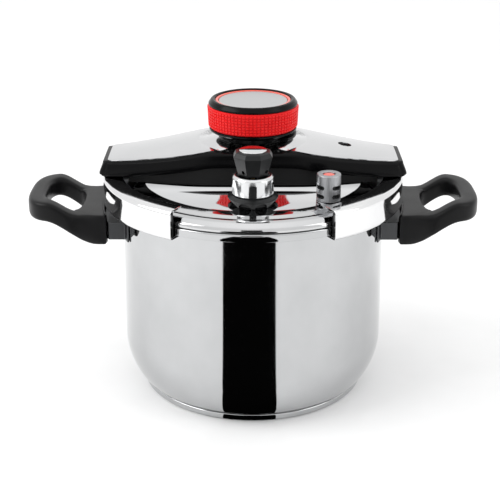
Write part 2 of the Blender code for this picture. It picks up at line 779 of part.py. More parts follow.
def make_beam():
    """The steel channel that carries the bridge on its two studs."""
    rows = []
    count = 6
    low = LID_TOP + 2.2 * MM
    for i in range(-count, count + 1):
        x = BEAM_HALF_LENGTH * i / count
        width = bridge_half_width(x) - BEAM_INSET
        high = beam_top(x)
        half = [(x, -width, low), (x, -width, high), (x, -width * 0.4, high)]
        rows.append(half + [(px, -py, pz) for px, py, pz in reversed(half)])
    beam = add_object("bridge_beam", grid_mesh("beam", rows), BLACK_PLASTIC)
    solidify(beam, BEAM_SHEET)
    low, high = beam_top(BEAM_HALF_LENGTH) - 5 * MM, KNOB_BOTTOM
    cut(beam, rod_mesh("shaft_hole", SHAFT_RADIUS + 0.8 * MM, low, high))
    cut(beam, rod_mesh("lock_hole", LOCK_PIN_RADIUS + 0.8 * MM, low, high), (LOCK_X, 0, 0))
    for side in (-1, 1):
        hole = rod_mesh("screw_hole", SCREW_RADIUS + GAP, low, high, 12)
        cut(beam, hole, (side * STUD_X, 0, 0))


def make_studs():
    """The axle and the two guide studs welded to the lid, with the screws and the nut on them."""
    start = LID_TOP + GAP
    for side, name in ((-1, "left"), (1, "right")):
        place = (side * STUD_X, 0, 0)
        top = beam_top(STUD_X) - BEAM_SHEET - 1.2 * MM
        screw_low = top - 6 * MM
        bore = SCREW_RADIUS + GAP
        profile = [
            (0, start),
            (STUD_RADIUS, start),
            (STUD_RADIUS, top),
            (bore, top),
            (bore, screw_low - GAP),
            (0, screw_low - GAP),
        ]
        turned(f"{name}_guide_stud", profile, SATIN_STEEL, 20, place)
        make_screw(f"{name}_bridge_screw", place, screw_low)
    top = GRIP_BOTTOM + 14.5 * MM
    axle = rod_mesh("axle", AXLE_RADIUS, start, top, 24)
    add_object("knob_axle", axle, SATIN_STEEL)


def make_screw(name, place, low):
    """A pan-headed screw that holds housing and beam down on a stud, under the cover plate."""
    x = abs(place[0])
    head = SCREW_RADIUS + 1.6 * MM
    under = beam_top(x - head) + GAP
    profile = [
        (0, under + 2.2 * MM),
        (head - 0.6 * MM, under + 2.2 * MM),
        (head, under + 1.6 * MM),
        (head, under),
        (SCREW_RADIUS, under),
        (SCREW_RADIUS, low),
        (0, low),
    ]
    turned(name, profile, SATIN_STEEL, 16, place)


# Knob


def make_knob(axis):
    """The knob: black body, red grip, black bezel, accent ring, silver cap and the axle nut."""
    shaft_top = GRIP_BOTTOM + 8 * MM
    core_top = GRIP_TOP - 1 * MM
    nut_room = 13 * MM
    bore = SHAFT_RADIUS + GAP
    body = [
        (bore, KNOB_BOTTOM),
        (KNOB_NECK_RADIUS, KNOB_BOTTOM),
        (KNOB_NECK_RADIUS, KNOB_BOTTOM + KNOB_FOOT - 1.5 * MM),
        (KNOB_LOWER_RADIUS - 1.5 * MM, KNOB_BOTTOM + KNOB_FOOT),
        (KNOB_LOWER_RADIUS, KNOB_BOTTOM + KNOB_FOOT + 1.2 * MM),
        (KNOB_LOWER_RADIUS, GRIP_BOTTOM - GAP),
        (KNOB_CORE_RADIUS, GRIP_BOTTOM - GAP),
        (KNOB_CORE_RADIUS, core_top),
        (nut_room, core_top),
        (nut_room, shaft_top),
        (bore, shaft_top),
    ]
    turned("knob_body", body, BLACK_PLASTIC, KNOB_ROUND, parent=axis)
    grip_inner = KNOB_CORE_RADIUS + GAP
    waist = 0.5 * MM
    grip = [
        (grip_inner, GRIP_TOP),
        (KNOB_RADIUS - 0.4 * MM, GRIP_TOP),
        (KNOB_RADIUS, GRIP_TOP - 1.5 * MM),
        (KNOB_RADIUS - waist, GRIP_BOTTOM + KNOB_GRIP_HEIGHT / 2),
        (KNOB_LOWER_RADIUS + 0.4 * MM, GRIP_BOTTOM + 2 * MM),
        (KNOB_LOWER_RADIUS - 0.6 * MM, GRIP_BOTTOM),
        (grip_inner, GRIP_BOTTOM),
    ]
    turned("knob_grip", grip, RED_RUBBER, KNOB_ROUND, parent=axis)
    accent_inner = CAP_RADIUS + GAP
    accent_outer = accent_inner + ACCENT_WIDTH
    bezel_inner = accent_outer + GAP
    bezel = [
        (bezel_inner, core_top + GAP),
        (grip_inner - GAP, core_top + GAP),
        (grip_inner - GAP, GRIP_TOP + GAP),
        (KNOB_RADIUS - 0.6 * MM, GRIP_TOP + GAP),
        (KNOB_RADIUS - 0.9 * MM, GRIP_TOP + 1.6 * MM),
        (KNOB_RADIUS - 3.0 * MM, GRIP_TOP + BEZEL_HEIGHT - 0.6 * MM),
        (KNOB_RADIUS - 4.6 * MM, GRIP_TOP + BEZEL_HEIGHT),
        (bezel_inner, GRIP_TOP + BEZEL_HEIGHT - 0.6 * MM),
    ]
    turned("knob_bezel", bezel, BLACK_PLASTIC, KNOB_ROUND, parent=axis)
    low = core_top + GAP
    accent_top = GRIP_TOP + BEZEL_HEIGHT - 1.0 * MM
    tube("knob_accent_ring", accent_inner, accent_outer, low, accent_top, RED_PLASTIC, KNOB_ROUND, parent=axis)
    cap_top = accent_top - 0.6 * MM
    cap = [
        (0, cap_top),
        (CAP_RADIUS - 0.4 * MM, cap_top),
        (CAP_RADIUS, cap_top - 0.4 * MM),
        (CAP_RADIUS, low),
        (0, low),
    ]
    turned("knob_cap", cap, SATIN_STEEL, KNOB_ROUND, parent=axis)
    nut = plate_nut("knob_nut", 8.0 * MM, AXLE_RADIUS, shaft_top + GAP, shaft_top + 4.5 * MM, SATIN_STEEL)
    nut.parent = axis
    nut.location -= axis.location
    make_pointer(axis)


def make_pointer(axis):
    """The pointer under the grip, which shows whether the jaws are open."""
    inner, outer = KNOB_NECK_RADIUS + GAP, KNOB_LOWER_RADIUS
    low, high = KNOB_BOTTOM + 0.2 * MM, KNOB_BOTTOM + KNOB_FOOT - 1.5 * MM - GAP
    section = [(inner, low), (outer - 1.5 * MM, low), (outer, low + 1.5 * MM), (outer, high), (inner, high)]
    start = POINTER_DIRECTION - POINTER_HALF_ANGLE
    end = POINTER_DIRECTION + POINTER_HALF_ANGLE
    pointer = spun_section("pointer", section, start, end, 8)
    add_object("knob_pointer", pointer, BLACK_PLASTIC, parent=axis).location = -axis.location


def plate_nut(name, radius, hole, bottom, top, look, place=(0, 0, 0)):
    """A hexagon nut with a round hole."""
    outlines = [circle((0, 0), radius, 6), circle((0, 0), hole + GAP, 20)]
    return plate(name, outlines, bottom, top, look, place)


# Steam valve


def make_valve(turn_axis, lift_axis):
    """The steam valve: seat through the lid, black foot, chromed collar, needle and selector."""
    place = (0, VALVE_Y, 0)
    base_low = LID_TOP + GAP
    base_top = base_low + VALVE_BASE_HEIGHT
    collar_low = base_top + GAP
    collar_top = collar_low + COLLAR_HEIGHT
    throat = 2.0 * MM
    seat_top = base_low + 3.0 * MM
    seat_low = LID_TOP - LID_SHEET - 9.0 * MM
    seat_flange = VALVE_SEAT_RADIUS + 2.5 * MM
    seat = [
        (throat, seat_top + 4 * MM),
        (throat + 2.2 * MM, seat_top + 4 * MM),
        (VALVE_SEAT_RADIUS - 1 * MM, seat_top),
        (seat_flange, seat_top),
        (seat_flange, base_low),
        (VALVE_SEAT_RADIUS, base_low),
        (VALVE_SEAT_RADIUS, seat_low),
        (throat, seat_low),
    ]
    turned("valve_seat", seat, BRASS, SMALL_ROUND, place)
    under = LID_TOP - LID_SHEET - GAP
    inner, outer = VALVE_SEAT_RADIUS + GAP, VALVE_SEAT_RADIUS + 4 * MM
    tube("valve_gasket", inner, outer, under - 1.5 * MM, under, GREY_RUBBER, SMALL_ROUND, place)
    nut_top = under - 1.5 * MM - GAP
    plate_nut("valve_nut", 13 * MM, VALVE_SEAT_RADIUS, nut_top - 4 * MM, nut_top, SATIN_STEEL, place)

    foot_bore = seat_flange + GAP
    collar_bore = COLLAR_RADIUS - 2.0 * MM
    sleeve = collar_bore - GAP
    foot = [
        (sleeve - 1.2 * MM, collar_top - 3.5 * MM),
        (sleeve, collar_top - 3.5 * MM),
        (sleeve, base_top),
        (VALVE_BASE_RADIUS - 1.6 * MM, base_top),
        (VALVE_BASE_RADIUS, base_top - 1.6 * MM),
        (VALVE_BASE_RADIUS - 3.4 * MM, base_low),
        (foot_bore, base_low),
        (foot_bore, base_top - 2.4 * MM),
        (sleeve - 1.2 * MM, base_top - 2.4 * MM),
    ]
    foot_obj = turned("valve_foot", foot, BLACK_PLASTIC, 24, place)
    for i in range(VALVE_SCALLOPS):
        angle = 2 * math.pi * (i + 0.5) / VALVE_SCALLOPS
        out = VALVE_BASE_RADIUS + 0.8 * MM
        spot = Vector((out * math.cos(angle), VALVE_Y + out * math.sin(angle), 0))
        scallop = rod_mesh("scallop", 4.2 * MM, base_low - 2 * MM, base_top - 3.0 * MM, 12)
        cut(foot_obj, scallop, spot)

    collar = [
        (collar_bore, collar_top - 1.5 * MM),
        (SELECTOR_LOWER_RADIUS + RUNNING, collar_top),
        (COLLAR_RADIUS - 1.6 * MM, collar_top),
        (COLLAR_RADIUS, collar_top - 1.6 * MM),
        (COLLAR_RADIUS, collar_low + 1 * MM),
        (COLLAR_RADIUS - 1 * MM, collar_low),
        (collar_bore, collar_low),
    ]
    collar_obj = turned("valve_collar", collar, STEEL, 24, place)
    windows = ((-90, 3.0 * MM, -1 * MM, 10.4 * MM), (-20, 1.7 * MM, 3.4 * MM, 11 * MM))
    for degrees, half, low, high in windows:
        window = box_mesh("window", (9 * MM, -half, collar_low + low), (20 * MM, half, collar_low + high))
        cut(collar_obj, window, place, Matrix.Rotation(math.radians(degrees), 4, "Z"))

    make_selector(place, collar_low, collar_top, turn_axis)
    make_needle(place, seat_top + 4 * MM, collar_top, lift_axis)


def make_selector(place, collar_low, collar_top, axis):
    """The eight-sided selector with its silver top."""
    low = collar_top + RUNNING
    top = low + SELECTOR_HEIGHT
    bore, bore_top = 7.0 * MM, top - 5 * MM
    profile = [
        (0, top),
        (SELECTOR_UPPER_RADIUS - 3.4 * MM, top),
        (SELECTOR_UPPER_RADIUS - 2.4 * MM, top - 0.5 * MM),
        (SELECTOR_UPPER_RADIUS, top - 4.0 * MM),
        (SELECTOR_LOWER_RADIUS, low),
        (bore, low),
        (bore, bore_top),
        (0, bore_top),
    ]
    obj = turned("valve_selector", profile, BLACK_PLASTIC, 8, place, axis)
    obj.modifiers["turn"].use_smooth_shade = False
    obj.rotation_euler.z = math.pi / 8
    for x in (-6.2 * MM, 6.2 * MM):
        vent = rod_mesh("vent", 1.1 * MM, 0, 6 * MM, 10)
        spot = Vector(place) + Vector((x, -7.6 * MM, low + 4.2 * MM))
        cut(obj, vent, spot, Matrix.Rotation(math.radians(90), 4, "X"))
    cap = [
        (0, top + GAP + 0.8 * MM),
        (SELECTOR_UPPER_RADIUS - 5.2 * MM, top + GAP + 0.8 * MM),
        (SELECTOR_UPPER_RADIUS - 4.2 * MM, top + GAP),
        (0, top + GAP),
    ]
    turned("valve_cap", cap, STEEL, 20, place, axis)


def make_needle(place, seat_height, collar_top, axis):
    """The needle that closes the seat, and the spring that sets the working pressure."""
    low = seat_height + GAP
    shoulder = low + 2.5 * MM
    ceiling = collar_top + RUNNING + SELECTOR_HEIGHT - 5 * MM
    stem = 1.6 * MM
    disc = 5.2 * MM
    top = ceiling - 3.5 * MM
    needle = [
        (0, low - 3 * MM),
        (1.4 * MM, low - GAP),
        (disc - 1 * MM, low),
        (disc, low + 1 * MM),
        (disc, shoulder),
        (stem, shoulder),
        (stem, top),
        (0, top),
    ]
    turned("valve_needle", needle, BRASS, 20, place, axis)
    coil = bpy.data.curves.new("valve_spring", "CURVE")
    coil.dimensions = "3D"
    coil.bevel_depth = VALVE_WIRE / 2
    coil.bevel_resolution = 1
    coil.use_fill_caps = True
    turns, per_turn = 6, 8
    start, end = shoulder + VALVE_WIRE, ceiling - VALVE_WIRE
    spline = coil.splines.new("POLY")
    spline.points.add(turns * per_turn)
    for i, point in enumerate(spline.points):
        angle = 2 * math.pi * i / per_turn
        height = start + (end - start) * i / (turns * per_turn)
        point.co = (3.8 * MM * math.cos(angle), 3.8 * MM * math.sin(angle), height, 1)
    add_object("valve_spring", coil, SATIN_STEEL, place)


# Pressure indicator and lock pin


def make_indicator(axis):
    """The slotted housing, the red pin that rises under pressure, its seal and its nut."""
    place = INDICATOR_PLACE
    low = LID_TOP + GAP
    top = low + INDICATOR_HEIGHT
    bore = INDICATOR_PIN_RADIUS + 2.2 * MM
    spigot = INDICATOR_PIN_RADIUS + 1.9 * MM - GAP
    mouth = INDICATOR_PIN_RADIUS + RUNNING
    bottom = LID_TOP - LID_SHEET - 8 * MM
    housing = [
        (mouth, top - 0.6 * MM),
        (INDICATOR_RADIUS - 1 * MM, top),
        (INDICATOR_RADIUS, top - 1 * MM),
        (INDICATOR_RADIUS, low),
        (spigot, low),
        (spigot, bottom),
        (mouth, bottom),
        (mouth, low + 1.5 * MM),
        (bore, low + 2 * MM),
        (bore, top - 3 * MM),
        (mouth, top - 2.4 * MM),
    ]
    body = turned("indicator_housing", housing, GREY_METAL, SMALL_ROUND, place)
    for row in (0.12, 0.46):
        height = low + INDICATOR_HEIGHT * row
        for i in range(4):
            angle = math.radians(-50 + 90 * i)
            slot = box_mesh("slot", (5 * MM, -4.2 * MM, height), (12 * MM, 4.2 * MM, height + 3.4 * MM))
            cut(body, slot, place, Matrix.Rotation(angle, 4, "Z"))
    pin_low = bottom - 2 * MM
    head = INDICATOR_PIN_RADIUS + 1.0 * MM
    pin = [
        (0, top - 0.4 * MM),
        (INDICATOR_PIN_RADIUS - 0.4 * MM, top - 0.4 * MM),
        (INDICATOR_PIN_RADIUS, top - 0.8 * MM),
        (INDICATOR_PIN_RADIUS, top - 6 * MM),
        (INDICATOR_PIN_RADIUS - 1.4 * MM, top - 7 * MM),
        (INDICATOR_PIN_RADIUS - 1.4 * MM, pin_low - INDICATOR_RISE),
        (head, pin_low - INDICATOR_RISE),
        (head, pin_low - INDICATOR_RISE - 1.5 * MM),
        (0, pin_low - INDICATOR_RISE - 1.5 * MM),
    ]
    turned("indicator_pin", pin, RED_PLASTIC, 20, place, axis)
    under = LID_TOP - LID_SHEET - GAP
    tube("indicator_gasket", spigot + GAP, 8.2 * MM, under - 1.5 * MM, under, GREY_RUBBER, SMALL_ROUND, place)
    nut_top = under - 1.5 * MM - GAP
    plate_nut("indicator_nut", 10.5 * MM, spigot, nut_top - 3.5 * MM, nut_top, SATIN_STEEL, place)


def make_lock_pin(axis):
    """The pin that pressure pushes up between lid and bridge, in its silicone sleeve."""
    place = (LOCK_X, 0, 0)
    groove = LOCK_PIN_RADIUS + 2.6 * MM
    flange = groove + 2.0 * MM
    bore = LOCK_PIN_RADIUS + RUNNING
    under = LID_TOP - LID_SHEET - GAP
    sleeve = [
        (bore, LID_TOP + GAP + 0.8 * MM),
        (groove + 0.8 * MM, LID_TOP + GAP + 0.8 * MM),
        (groove + 0.8 * MM, LID_TOP + GAP),
        (groove - GAP, LID_TOP + GAP),
        (groove - GAP, under),
        (flange, under),
        (flange, under - 2 * MM),
        (bore, under - 2 * MM),
    ]
    turned("lock_pin_sleeve", sleeve, GREY_RUBBER, SMALL_ROUND, place)
    top = bridge_top(LOCK_X, 0) - 0.8 * MM
    stop = under - 2 * MM - GAP - 3.2 * MM
    pin = [
        (0, top),
        (LOCK_PIN_RADIUS - 0.5 * MM, top),
        (LOCK_PIN_RADIUS, top - 0.5 * MM),
        (LOCK_PIN_RADIUS, stop),
        (LOCK_PIN_RADIUS + 2 * MM, stop),
        (LOCK_PIN_RADIUS + 2 * MM, stop - 1.5 * MM),
        (0, stop - 1.5 * MM),
    ]
    turned("lock_pin", pin, SATIN_STEEL, 20, place, axis)


# Side handles


def smooth_step(value, start, end):
    """A soft 0 to 1 ramp between two values."""
    share = min(1.0, max(0.0, (value - start) / (end - start)))
    return share * share * (3 - 2 * share)


def handle_heights(x):
    """Lower and upper height of the handle's loop at a distance from the pot's axis."""
    top = HANDLE_TOP + HANDLE_LIFT_TOP * smooth_step(x, HANDLE_HOLE_START, HANDLE_HOLE_END - 4 * MM)
    start, end = HANDLE_INNER_RADIUS + 5 * MM, HANDLE_HOLE_END - 2 * MM
    low = HANDLE_BOTTOM + HANDLE_LIFT_BOTTOM * smooth_step(x, start, end)
    return low, top


def handle_outer(angle):
    """Point of the handle's outside in plan. Angle 0 is the far tip, 180 faces the pot."""
    c, s = math.cos(angle), math.sin(angle)
    middle = (HANDLE_HOLE_START + HANDLE_HOLE_END) / 2
    if c > -0.25:
        power = 2 / 3.0
        reach = HANDLE_REACH - middle
        width = HANDLE_HALF_WIDTH + 2 * MM
        x = middle + reach * abs(c) ** power * (1 if c > 0 else -1)
        return x, width * abs(s) ** power * (1 if s > 0 else -1)
    share = min(1.0, (-c - 0.25) / 0.75)
    corner = 0.55
    if share < corner:
        y = HANDLE_HALF_WIDTH + 1 * MM * (1 - share / corner)
        start = middle - 14 * MM
        end = math.sqrt(HANDLE_INNER_RADIUS**2 - HANDLE_HALF_WIDTH**2) + 1.2 * MM
        return start + (end - start) * share / corner, y * (1 if s > 0 else -1)
    y = (HANDLE_HALF_WIDTH - 1.2 * MM) * (1 - share) / (1 - corner)
    return math.sqrt(HANDLE_INNER_RADIUS**2 - y**2), y * (1 if s > 0 else -1)


def handle_hole(angle):
    """Point of the finger hole's outline in plan."""
    middle = (HANDLE_HOLE_START + HANDLE_HOLE_END) / 2
    half = (HANDLE_HOLE_END - HANDLE_HOLE_START) / 2
    c, s = math.cos(angle), math.sin(angle)
    power = 2 / 3.2
    x = middle + half * abs(c) ** power * (1 if c > 0 else -1)
    return x, HANDLE_HOLE_HALF_WIDTH * abs(s) ** power * (1 if s > 0 else -1)


def make_handle(side, mesh):
    """A side handle with the slot for its bracket's tongue and the screw from below."""
    name = "right" if side > 0 else "left"
    handle = add_object(f"{name}_handle", mesh, BAKELITE)
    round_shading(handle.data, 50)
    reach = HANDLE_INNER_RADIUS + TONGUE_LENGTH + GAP
    half = TONGUE_HALF_WIDTH + GAP
    middle = BRACKET_BOTTOM + BRACKET_HEIGHT / 2
    low, high = middle - TONGUE_SHEET / 2 - GAP, middle + TONGUE_SHEET / 2 + GAP
    ends = sorted((side * (HANDLE_INNER_RADIUS - 15 * MM), side * reach))
    cut(handle, box_mesh("tongue_slot", (ends[0], -half, low), (ends[1], half, high)))
    spot = (side * handle_screw_x(), 0, 0)
    cut(handle, rod_mesh("screw_bore", SCREW_RADIUS + GAP, HANDLE_BOTTOM - 5 * MM, middle, 12), spot)
    low, high = HANDLE_BOTTOM - 5 * MM, HANDLE_BOTTOM + 3 * MM
    head = rod_mesh("screw_head_bore", SCREW_RADIUS + 2.2 * MM, low, high, 16)
    cut(handle, head, spot)


def handle_screw_x():
    """Distance of the handle's screw from the pot's axis."""
    return HANDLE_INNER_RADIUS + TONGUE_LENGTH / 2


def handle_mesh():
    """The right handle as a loop lofted between its outside and its finger hole."""
    mesh = bpy.data.meshes.new("handle")
    loop = bmesh.new()
    stations, around = 32, 10
    rings = []
    for i in range(stations):
        angle = 2 * math.pi * i / stations
        outer, hole = Vector(handle_outer(angle)), Vector(handle_hole(angle))
        blockish = smooth_step(-outer.x, -HANDLE_INNER_RADIUS - 9 * MM, -HANDLE_INNER_RADIUS + 4 * MM)
        power = 2 / (3.0 + 9 * blockish)
        ring = []
        for j in range(around):
            turn = 2 * math.pi * (j + 0.5) / around
            c, s = math.cos(turn), math.sin(turn)
            across = abs(c) ** power * (1 if c > 0 else -1)
            lift = abs(s) ** power * (1 if s > 0 else -1)
            spot = hole + (outer - hole) * (1 + across) / 2
            low, high = handle_heights(spot.x)
            height = (low + high) / 2 + (high - low) / 2 * lift
            ring.append(loop.verts.new((spot.x, spot.y, height)))
        rings.append(ring)
    for ring, following in zip(rings, rings[1:] + rings[:1]):
        for j in range(around):
            k = (j + 1) % around
            loop.faces.new((ring[j], ring[k], following[k], following[j]))
    bmesh.ops.recalc_face_normals(loop, faces=loop.faces)
    loop.to_mesh(mesh)
    loop.free()
    return mesh


def bracket_mesh():
    """The right bracket: a channel folded from sheet, with weld tabs and a tongue."""
    wall = POT_RADIUS + GAP
    front = HANDLE_INNER_RADIUS - GAP
    half = BRACKET_HALF_WIDTH
    low, high = BRACKET_BOTTOM, BRACKET_BOTTOM + BRACKET_HEIGHT

    def on_circle(radius, y):
        return (math.sqrt(radius**2 - y**2), y)

    steps = 6
    outline = [on_circle(wall, -half - BRACKET_TAB + BRACKET_TAB * i / 2) for i in range(2)]
    outline += [on_circle(wall, -half + 2 * half * i / steps) for i in range(steps + 1)]
    outline += [on_circle(wall, half + BRACKET_TAB * (i + 1) / 2) for i in range(2)]
    outline += [on_circle(wall + BRACKET_SHEET, half + BRACKET_TAB), on_circle(wall + BRACKET_SHEET, half)]
    tongue_end = HANDLE_INNER_RADIUS + TONGUE_LENGTH
    outline += [on_circle(front, half - 2 * half * i / steps) for i in range(steps + 1)]
    outline += [on_circle(wall + BRACKET_SHEET, -half), on_circle(wall + BRACKET_SHEET, -half - BRACKET_TAB)]
    mesh = bpy.data.meshes.new("bracket")
    body = bmesh.new()
    face = body.faces.new([body.verts.new((x, y, low)) for x, y in outline])
    raised = bmesh.ops.extrude_face_region(body, geom=[face])["geom"]
    top = [item for item in raised if isinstance(item, bmesh.types.BMVert)]
    bmesh.ops.translate(body, verts=top, vec=(0, 0, high - low))
    bmesh.ops.recalc_face_normals(body, faces=body.faces)
    body.to_mesh(mesh)
    body.free()
    return mesh, tongue_end


def make_bracket(side, mesh, tongue_end):
    """A bracket with the hollow of its channel cut out and its tongue joined on."""
    name = "right" if side > 0 else "left"
    bracket = add_object(f"{name}_bracket", mesh, STEEL)
    middle = BRACKET_BOTTOM + BRACKET_HEIGHT / 2
    inner = BRACKET_HALF_WIDTH - BRACKET_SHEET
    low, high = BRACKET_BOTTOM + BRACKET_SHEET, BRACKET_BOTTOM + BRACKET_HEIGHT - BRACKET_SHEET
    start = HANDLE_INNER_RADIUS - GAP - BRACKET_SHEET - 4 * MM
    ends = sorted((side * (POT_RADIUS - 20 * MM), side * (start - 2 * MM)))
    cut(bracket, box_mesh("channel", (ends[0], -inner + 6 * MM, low), (ends[1], inner - 6 * MM, high)))
    half_sheet = TONGUE_SHEET / 2
    ends = sorted((side * (start - 1 * MM), side * tongue_end))
    half = TONGUE_HALF_WIDTH
    tongue = box_mesh("tongue", (ends[0], -half, middle - half_sheet), (ends[1], half, middle + half_sheet))
    cut(bracket, tongue, operation="UNION")
    spot = (side * handle_screw_x(), 0, 0)
    cut(bracket, rod_mesh("screw_hole", SCREW_RADIUS + GAP, middle - 8 * MM, middle + 1.2 * MM, 12), spot)
    head = SCREW_RADIUS + 1.8 * MM
    seat = HANDLE_BOTTOM + 3 * MM - GAP
    screw = [
        (0, middle + 0.8 * MM),
        (SCREW_RADIUS, middle + 0.8 * MM),
        (SCREW_RADIUS, seat),
        (head, seat),
        (head, seat - 1.8 * MM),
        (0, seat - 1.8 * MM),
    ]
    turned(f"{name}_handle_screw", screw, SATIN_STEEL, 16, spot)


clear_scene()
parts = new_collection("pressure_cooker")
cutters = new_collection("cutters")

make_pot()
make_base()
make_lid()
make_beam()
make_housing()
make_studs()

knob_axis = add_axis("knob_axis", (0, 0, CAM_BOTTOM))
make_cam(knob_axis)
make_knob(knob_axis)

for side in (-1, 1):
    make_cover(side)
    jaw_axis = add_axis("right_jaw_axis" if side > 0 else "left_jaw_axis", (side * JAW_RADIUS, 0, JAW_TOP))
    make_jaw(side, jaw_axis)

selector_axis = add_axis("valve_selector_axis", (0, VALVE_Y, LID_TOP))
needle_axis = add_axis("valve_needle_axis", (0, VALVE_Y, LID_TOP))
make_valve(selector_axis, needle_axis)

indicator_axis = add_axis("indicator_pin_axis", INDICATOR_PLACE + Vector((0, 0, LID_TOP)))
make_indicator(indicator_axis)
lock_axis = add_axis("lock_pin_axis", (LOCK_X, 0, LID_TOP))
make_lock_pin(lock_axis)

right_handle = handle_mesh()
right_bracket, tongue_reach = bracket_mesh()
make_handle(1, right_handle)
make_handle(-1, mirrored_x(right_handle, "handle_left"))
make_bracket(1, right_bracket, tongue_reach)
make_bracket(-1, mirrored_x(right_bracket, "bracket_left"), tongue_reach)
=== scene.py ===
# %% [markdown]
# # A jaw-lock pressure cooker, finished piece by piece
# The cooker is a drawn steel pot whose flat lid is gripped by two C-shaped jaws. One knob on the
# bridge pulls them in and out. The working model comes in first as a fixed frame, and each
# surface that shows is then made again with the roundings and the finish that a workshop gives it.

import math

import bmesh
import bpy
from mathutils import Matrix, Vector


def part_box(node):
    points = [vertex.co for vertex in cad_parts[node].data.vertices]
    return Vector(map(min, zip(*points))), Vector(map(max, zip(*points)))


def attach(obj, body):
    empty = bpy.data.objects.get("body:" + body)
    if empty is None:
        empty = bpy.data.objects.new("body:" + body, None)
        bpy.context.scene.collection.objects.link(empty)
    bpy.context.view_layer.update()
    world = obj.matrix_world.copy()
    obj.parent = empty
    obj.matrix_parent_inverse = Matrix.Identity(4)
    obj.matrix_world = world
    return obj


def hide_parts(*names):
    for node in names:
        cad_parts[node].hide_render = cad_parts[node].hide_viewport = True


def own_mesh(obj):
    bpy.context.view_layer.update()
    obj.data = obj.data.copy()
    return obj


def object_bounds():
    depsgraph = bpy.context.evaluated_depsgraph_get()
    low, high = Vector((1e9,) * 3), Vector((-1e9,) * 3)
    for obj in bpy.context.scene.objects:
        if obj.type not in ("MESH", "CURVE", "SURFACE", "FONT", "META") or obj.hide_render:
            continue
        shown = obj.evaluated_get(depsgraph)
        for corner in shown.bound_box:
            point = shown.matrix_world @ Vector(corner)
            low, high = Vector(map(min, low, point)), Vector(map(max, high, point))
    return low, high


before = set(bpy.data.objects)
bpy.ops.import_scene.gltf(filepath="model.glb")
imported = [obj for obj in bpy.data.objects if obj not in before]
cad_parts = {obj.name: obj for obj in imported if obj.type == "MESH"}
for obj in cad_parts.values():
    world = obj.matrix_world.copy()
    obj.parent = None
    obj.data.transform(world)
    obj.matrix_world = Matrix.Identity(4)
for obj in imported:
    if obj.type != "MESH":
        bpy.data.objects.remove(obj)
cad_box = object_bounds()
MM = 0.001


def span(node):
    """Lowest and highest corner of a working part."""
    low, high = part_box(node)
    return Vector(low), Vector(high)


size = (cad_box[1] - cad_box[0]) / MM
print(f"working model: {len(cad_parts)} parts, {size.x:.0f} x {size.y:.0f} x {size.z:.0f} mm")

# %% [markdown]
# ## Where the pieces sit
# Heights and radii are read from the working parts, so that every finished piece lands where its
# plain one is. Pieces are drawn in the cooker's own axes: the pot stands on zero, its axis is the
# Z axis, the bridge lies along X, and the valve is at the front, towards minus Y.

# %% Heights and radii
rim_top = span("pot_shell")[1].z
flange_radius = span("pot_shell")[1].y
pot_floor = span("pot_shell")[0].z
base_top = span("base_capsule")[1].z
base_radius = span("base_capsule")[1].y
lid_top = span("lid_disc")[1].z
lid_radius = span("lid_disc")[1].y
jaw_low, jaw_high = span("right_jaw")
jaw_radius = jaw_high.x
knob_low, knob_high = span("knob_grip")
jaw_span = f"{jaw_low.z / MM:.1f} to {jaw_high.z / MM:.1f}"
print(f"rim {rim_top / MM:.1f}, lid {lid_top / MM:.1f}, jaws {jaw_span} mm")

# %% [markdown]
# ## Small tools for materials
# Colours are written as the hex values a paint chart would give, and one function turns them into
# linear light. One more function adds a node, sets it and links it, and nothing else is needed.

# %% Colour and nodes


def linear(hex_colour):
    """sRGB hex to the linear RGBA that shaders use."""
    channels = [int(hex_colour[i : i + 2], 16) / 255 for i in (1, 3, 5)]
    return [c / 12.92 if c <= 0.04045 else ((c + 0.055) / 1.055) ** 2.4 for c in channels] + [1.0]


def add(tree, kind, settings=None, inputs=None):
    """Add a node. Inputs are values, or sockets to link from."""
    made = tree.nodes.new("ShaderNode" + kind)
    for name, value in (settings or {}).items():
        setattr(made, name, value)
    for name, value in (inputs or {}).items():
        if isinstance(value, bpy.types.NodeSocket):
            tree.links.new(value, made.inputs[name])
        else:
            made.inputs[name].default_value = value
    return made


def start_material(name, colour, metallic, roughness, **others):
    """A Principled material with its plain values on the shader's own sockets."""
    material = bpy.data.materials.new(name)
    material.use_nodes = True
    tree = material.node_tree
    shader = tree.nodes["Principled BSDF"]
    shader.inputs["Base Color"].default_value = linear(colour)
    shader.inputs["Metallic"].default_value = metallic
    shader.inputs["Roughness"].default_value = roughness
    for socket, value in others.items():
        shader.inputs[socket.replace("_", " ")].default_value = value
    return material, tree, shader


def ramp(tree, factor, stops):
    """A colour ramp through (position, hex) stops."""
    made = add(tree, "ValToRGB", inputs={"Fac": factor})
    while len(made.color_ramp.elements) < len(stops):
        made.color_ramp.elements.new(0.5)
    for element, (position, colour) in zip(made.color_ramp.elements, stops):
        element.position = position
        element.color = linear(colour)
    return made.outputs["Color"]


def place_of(tree):
    """Points of the piece in metres."""
    return add(tree, "TexCoord").outputs["Object"]
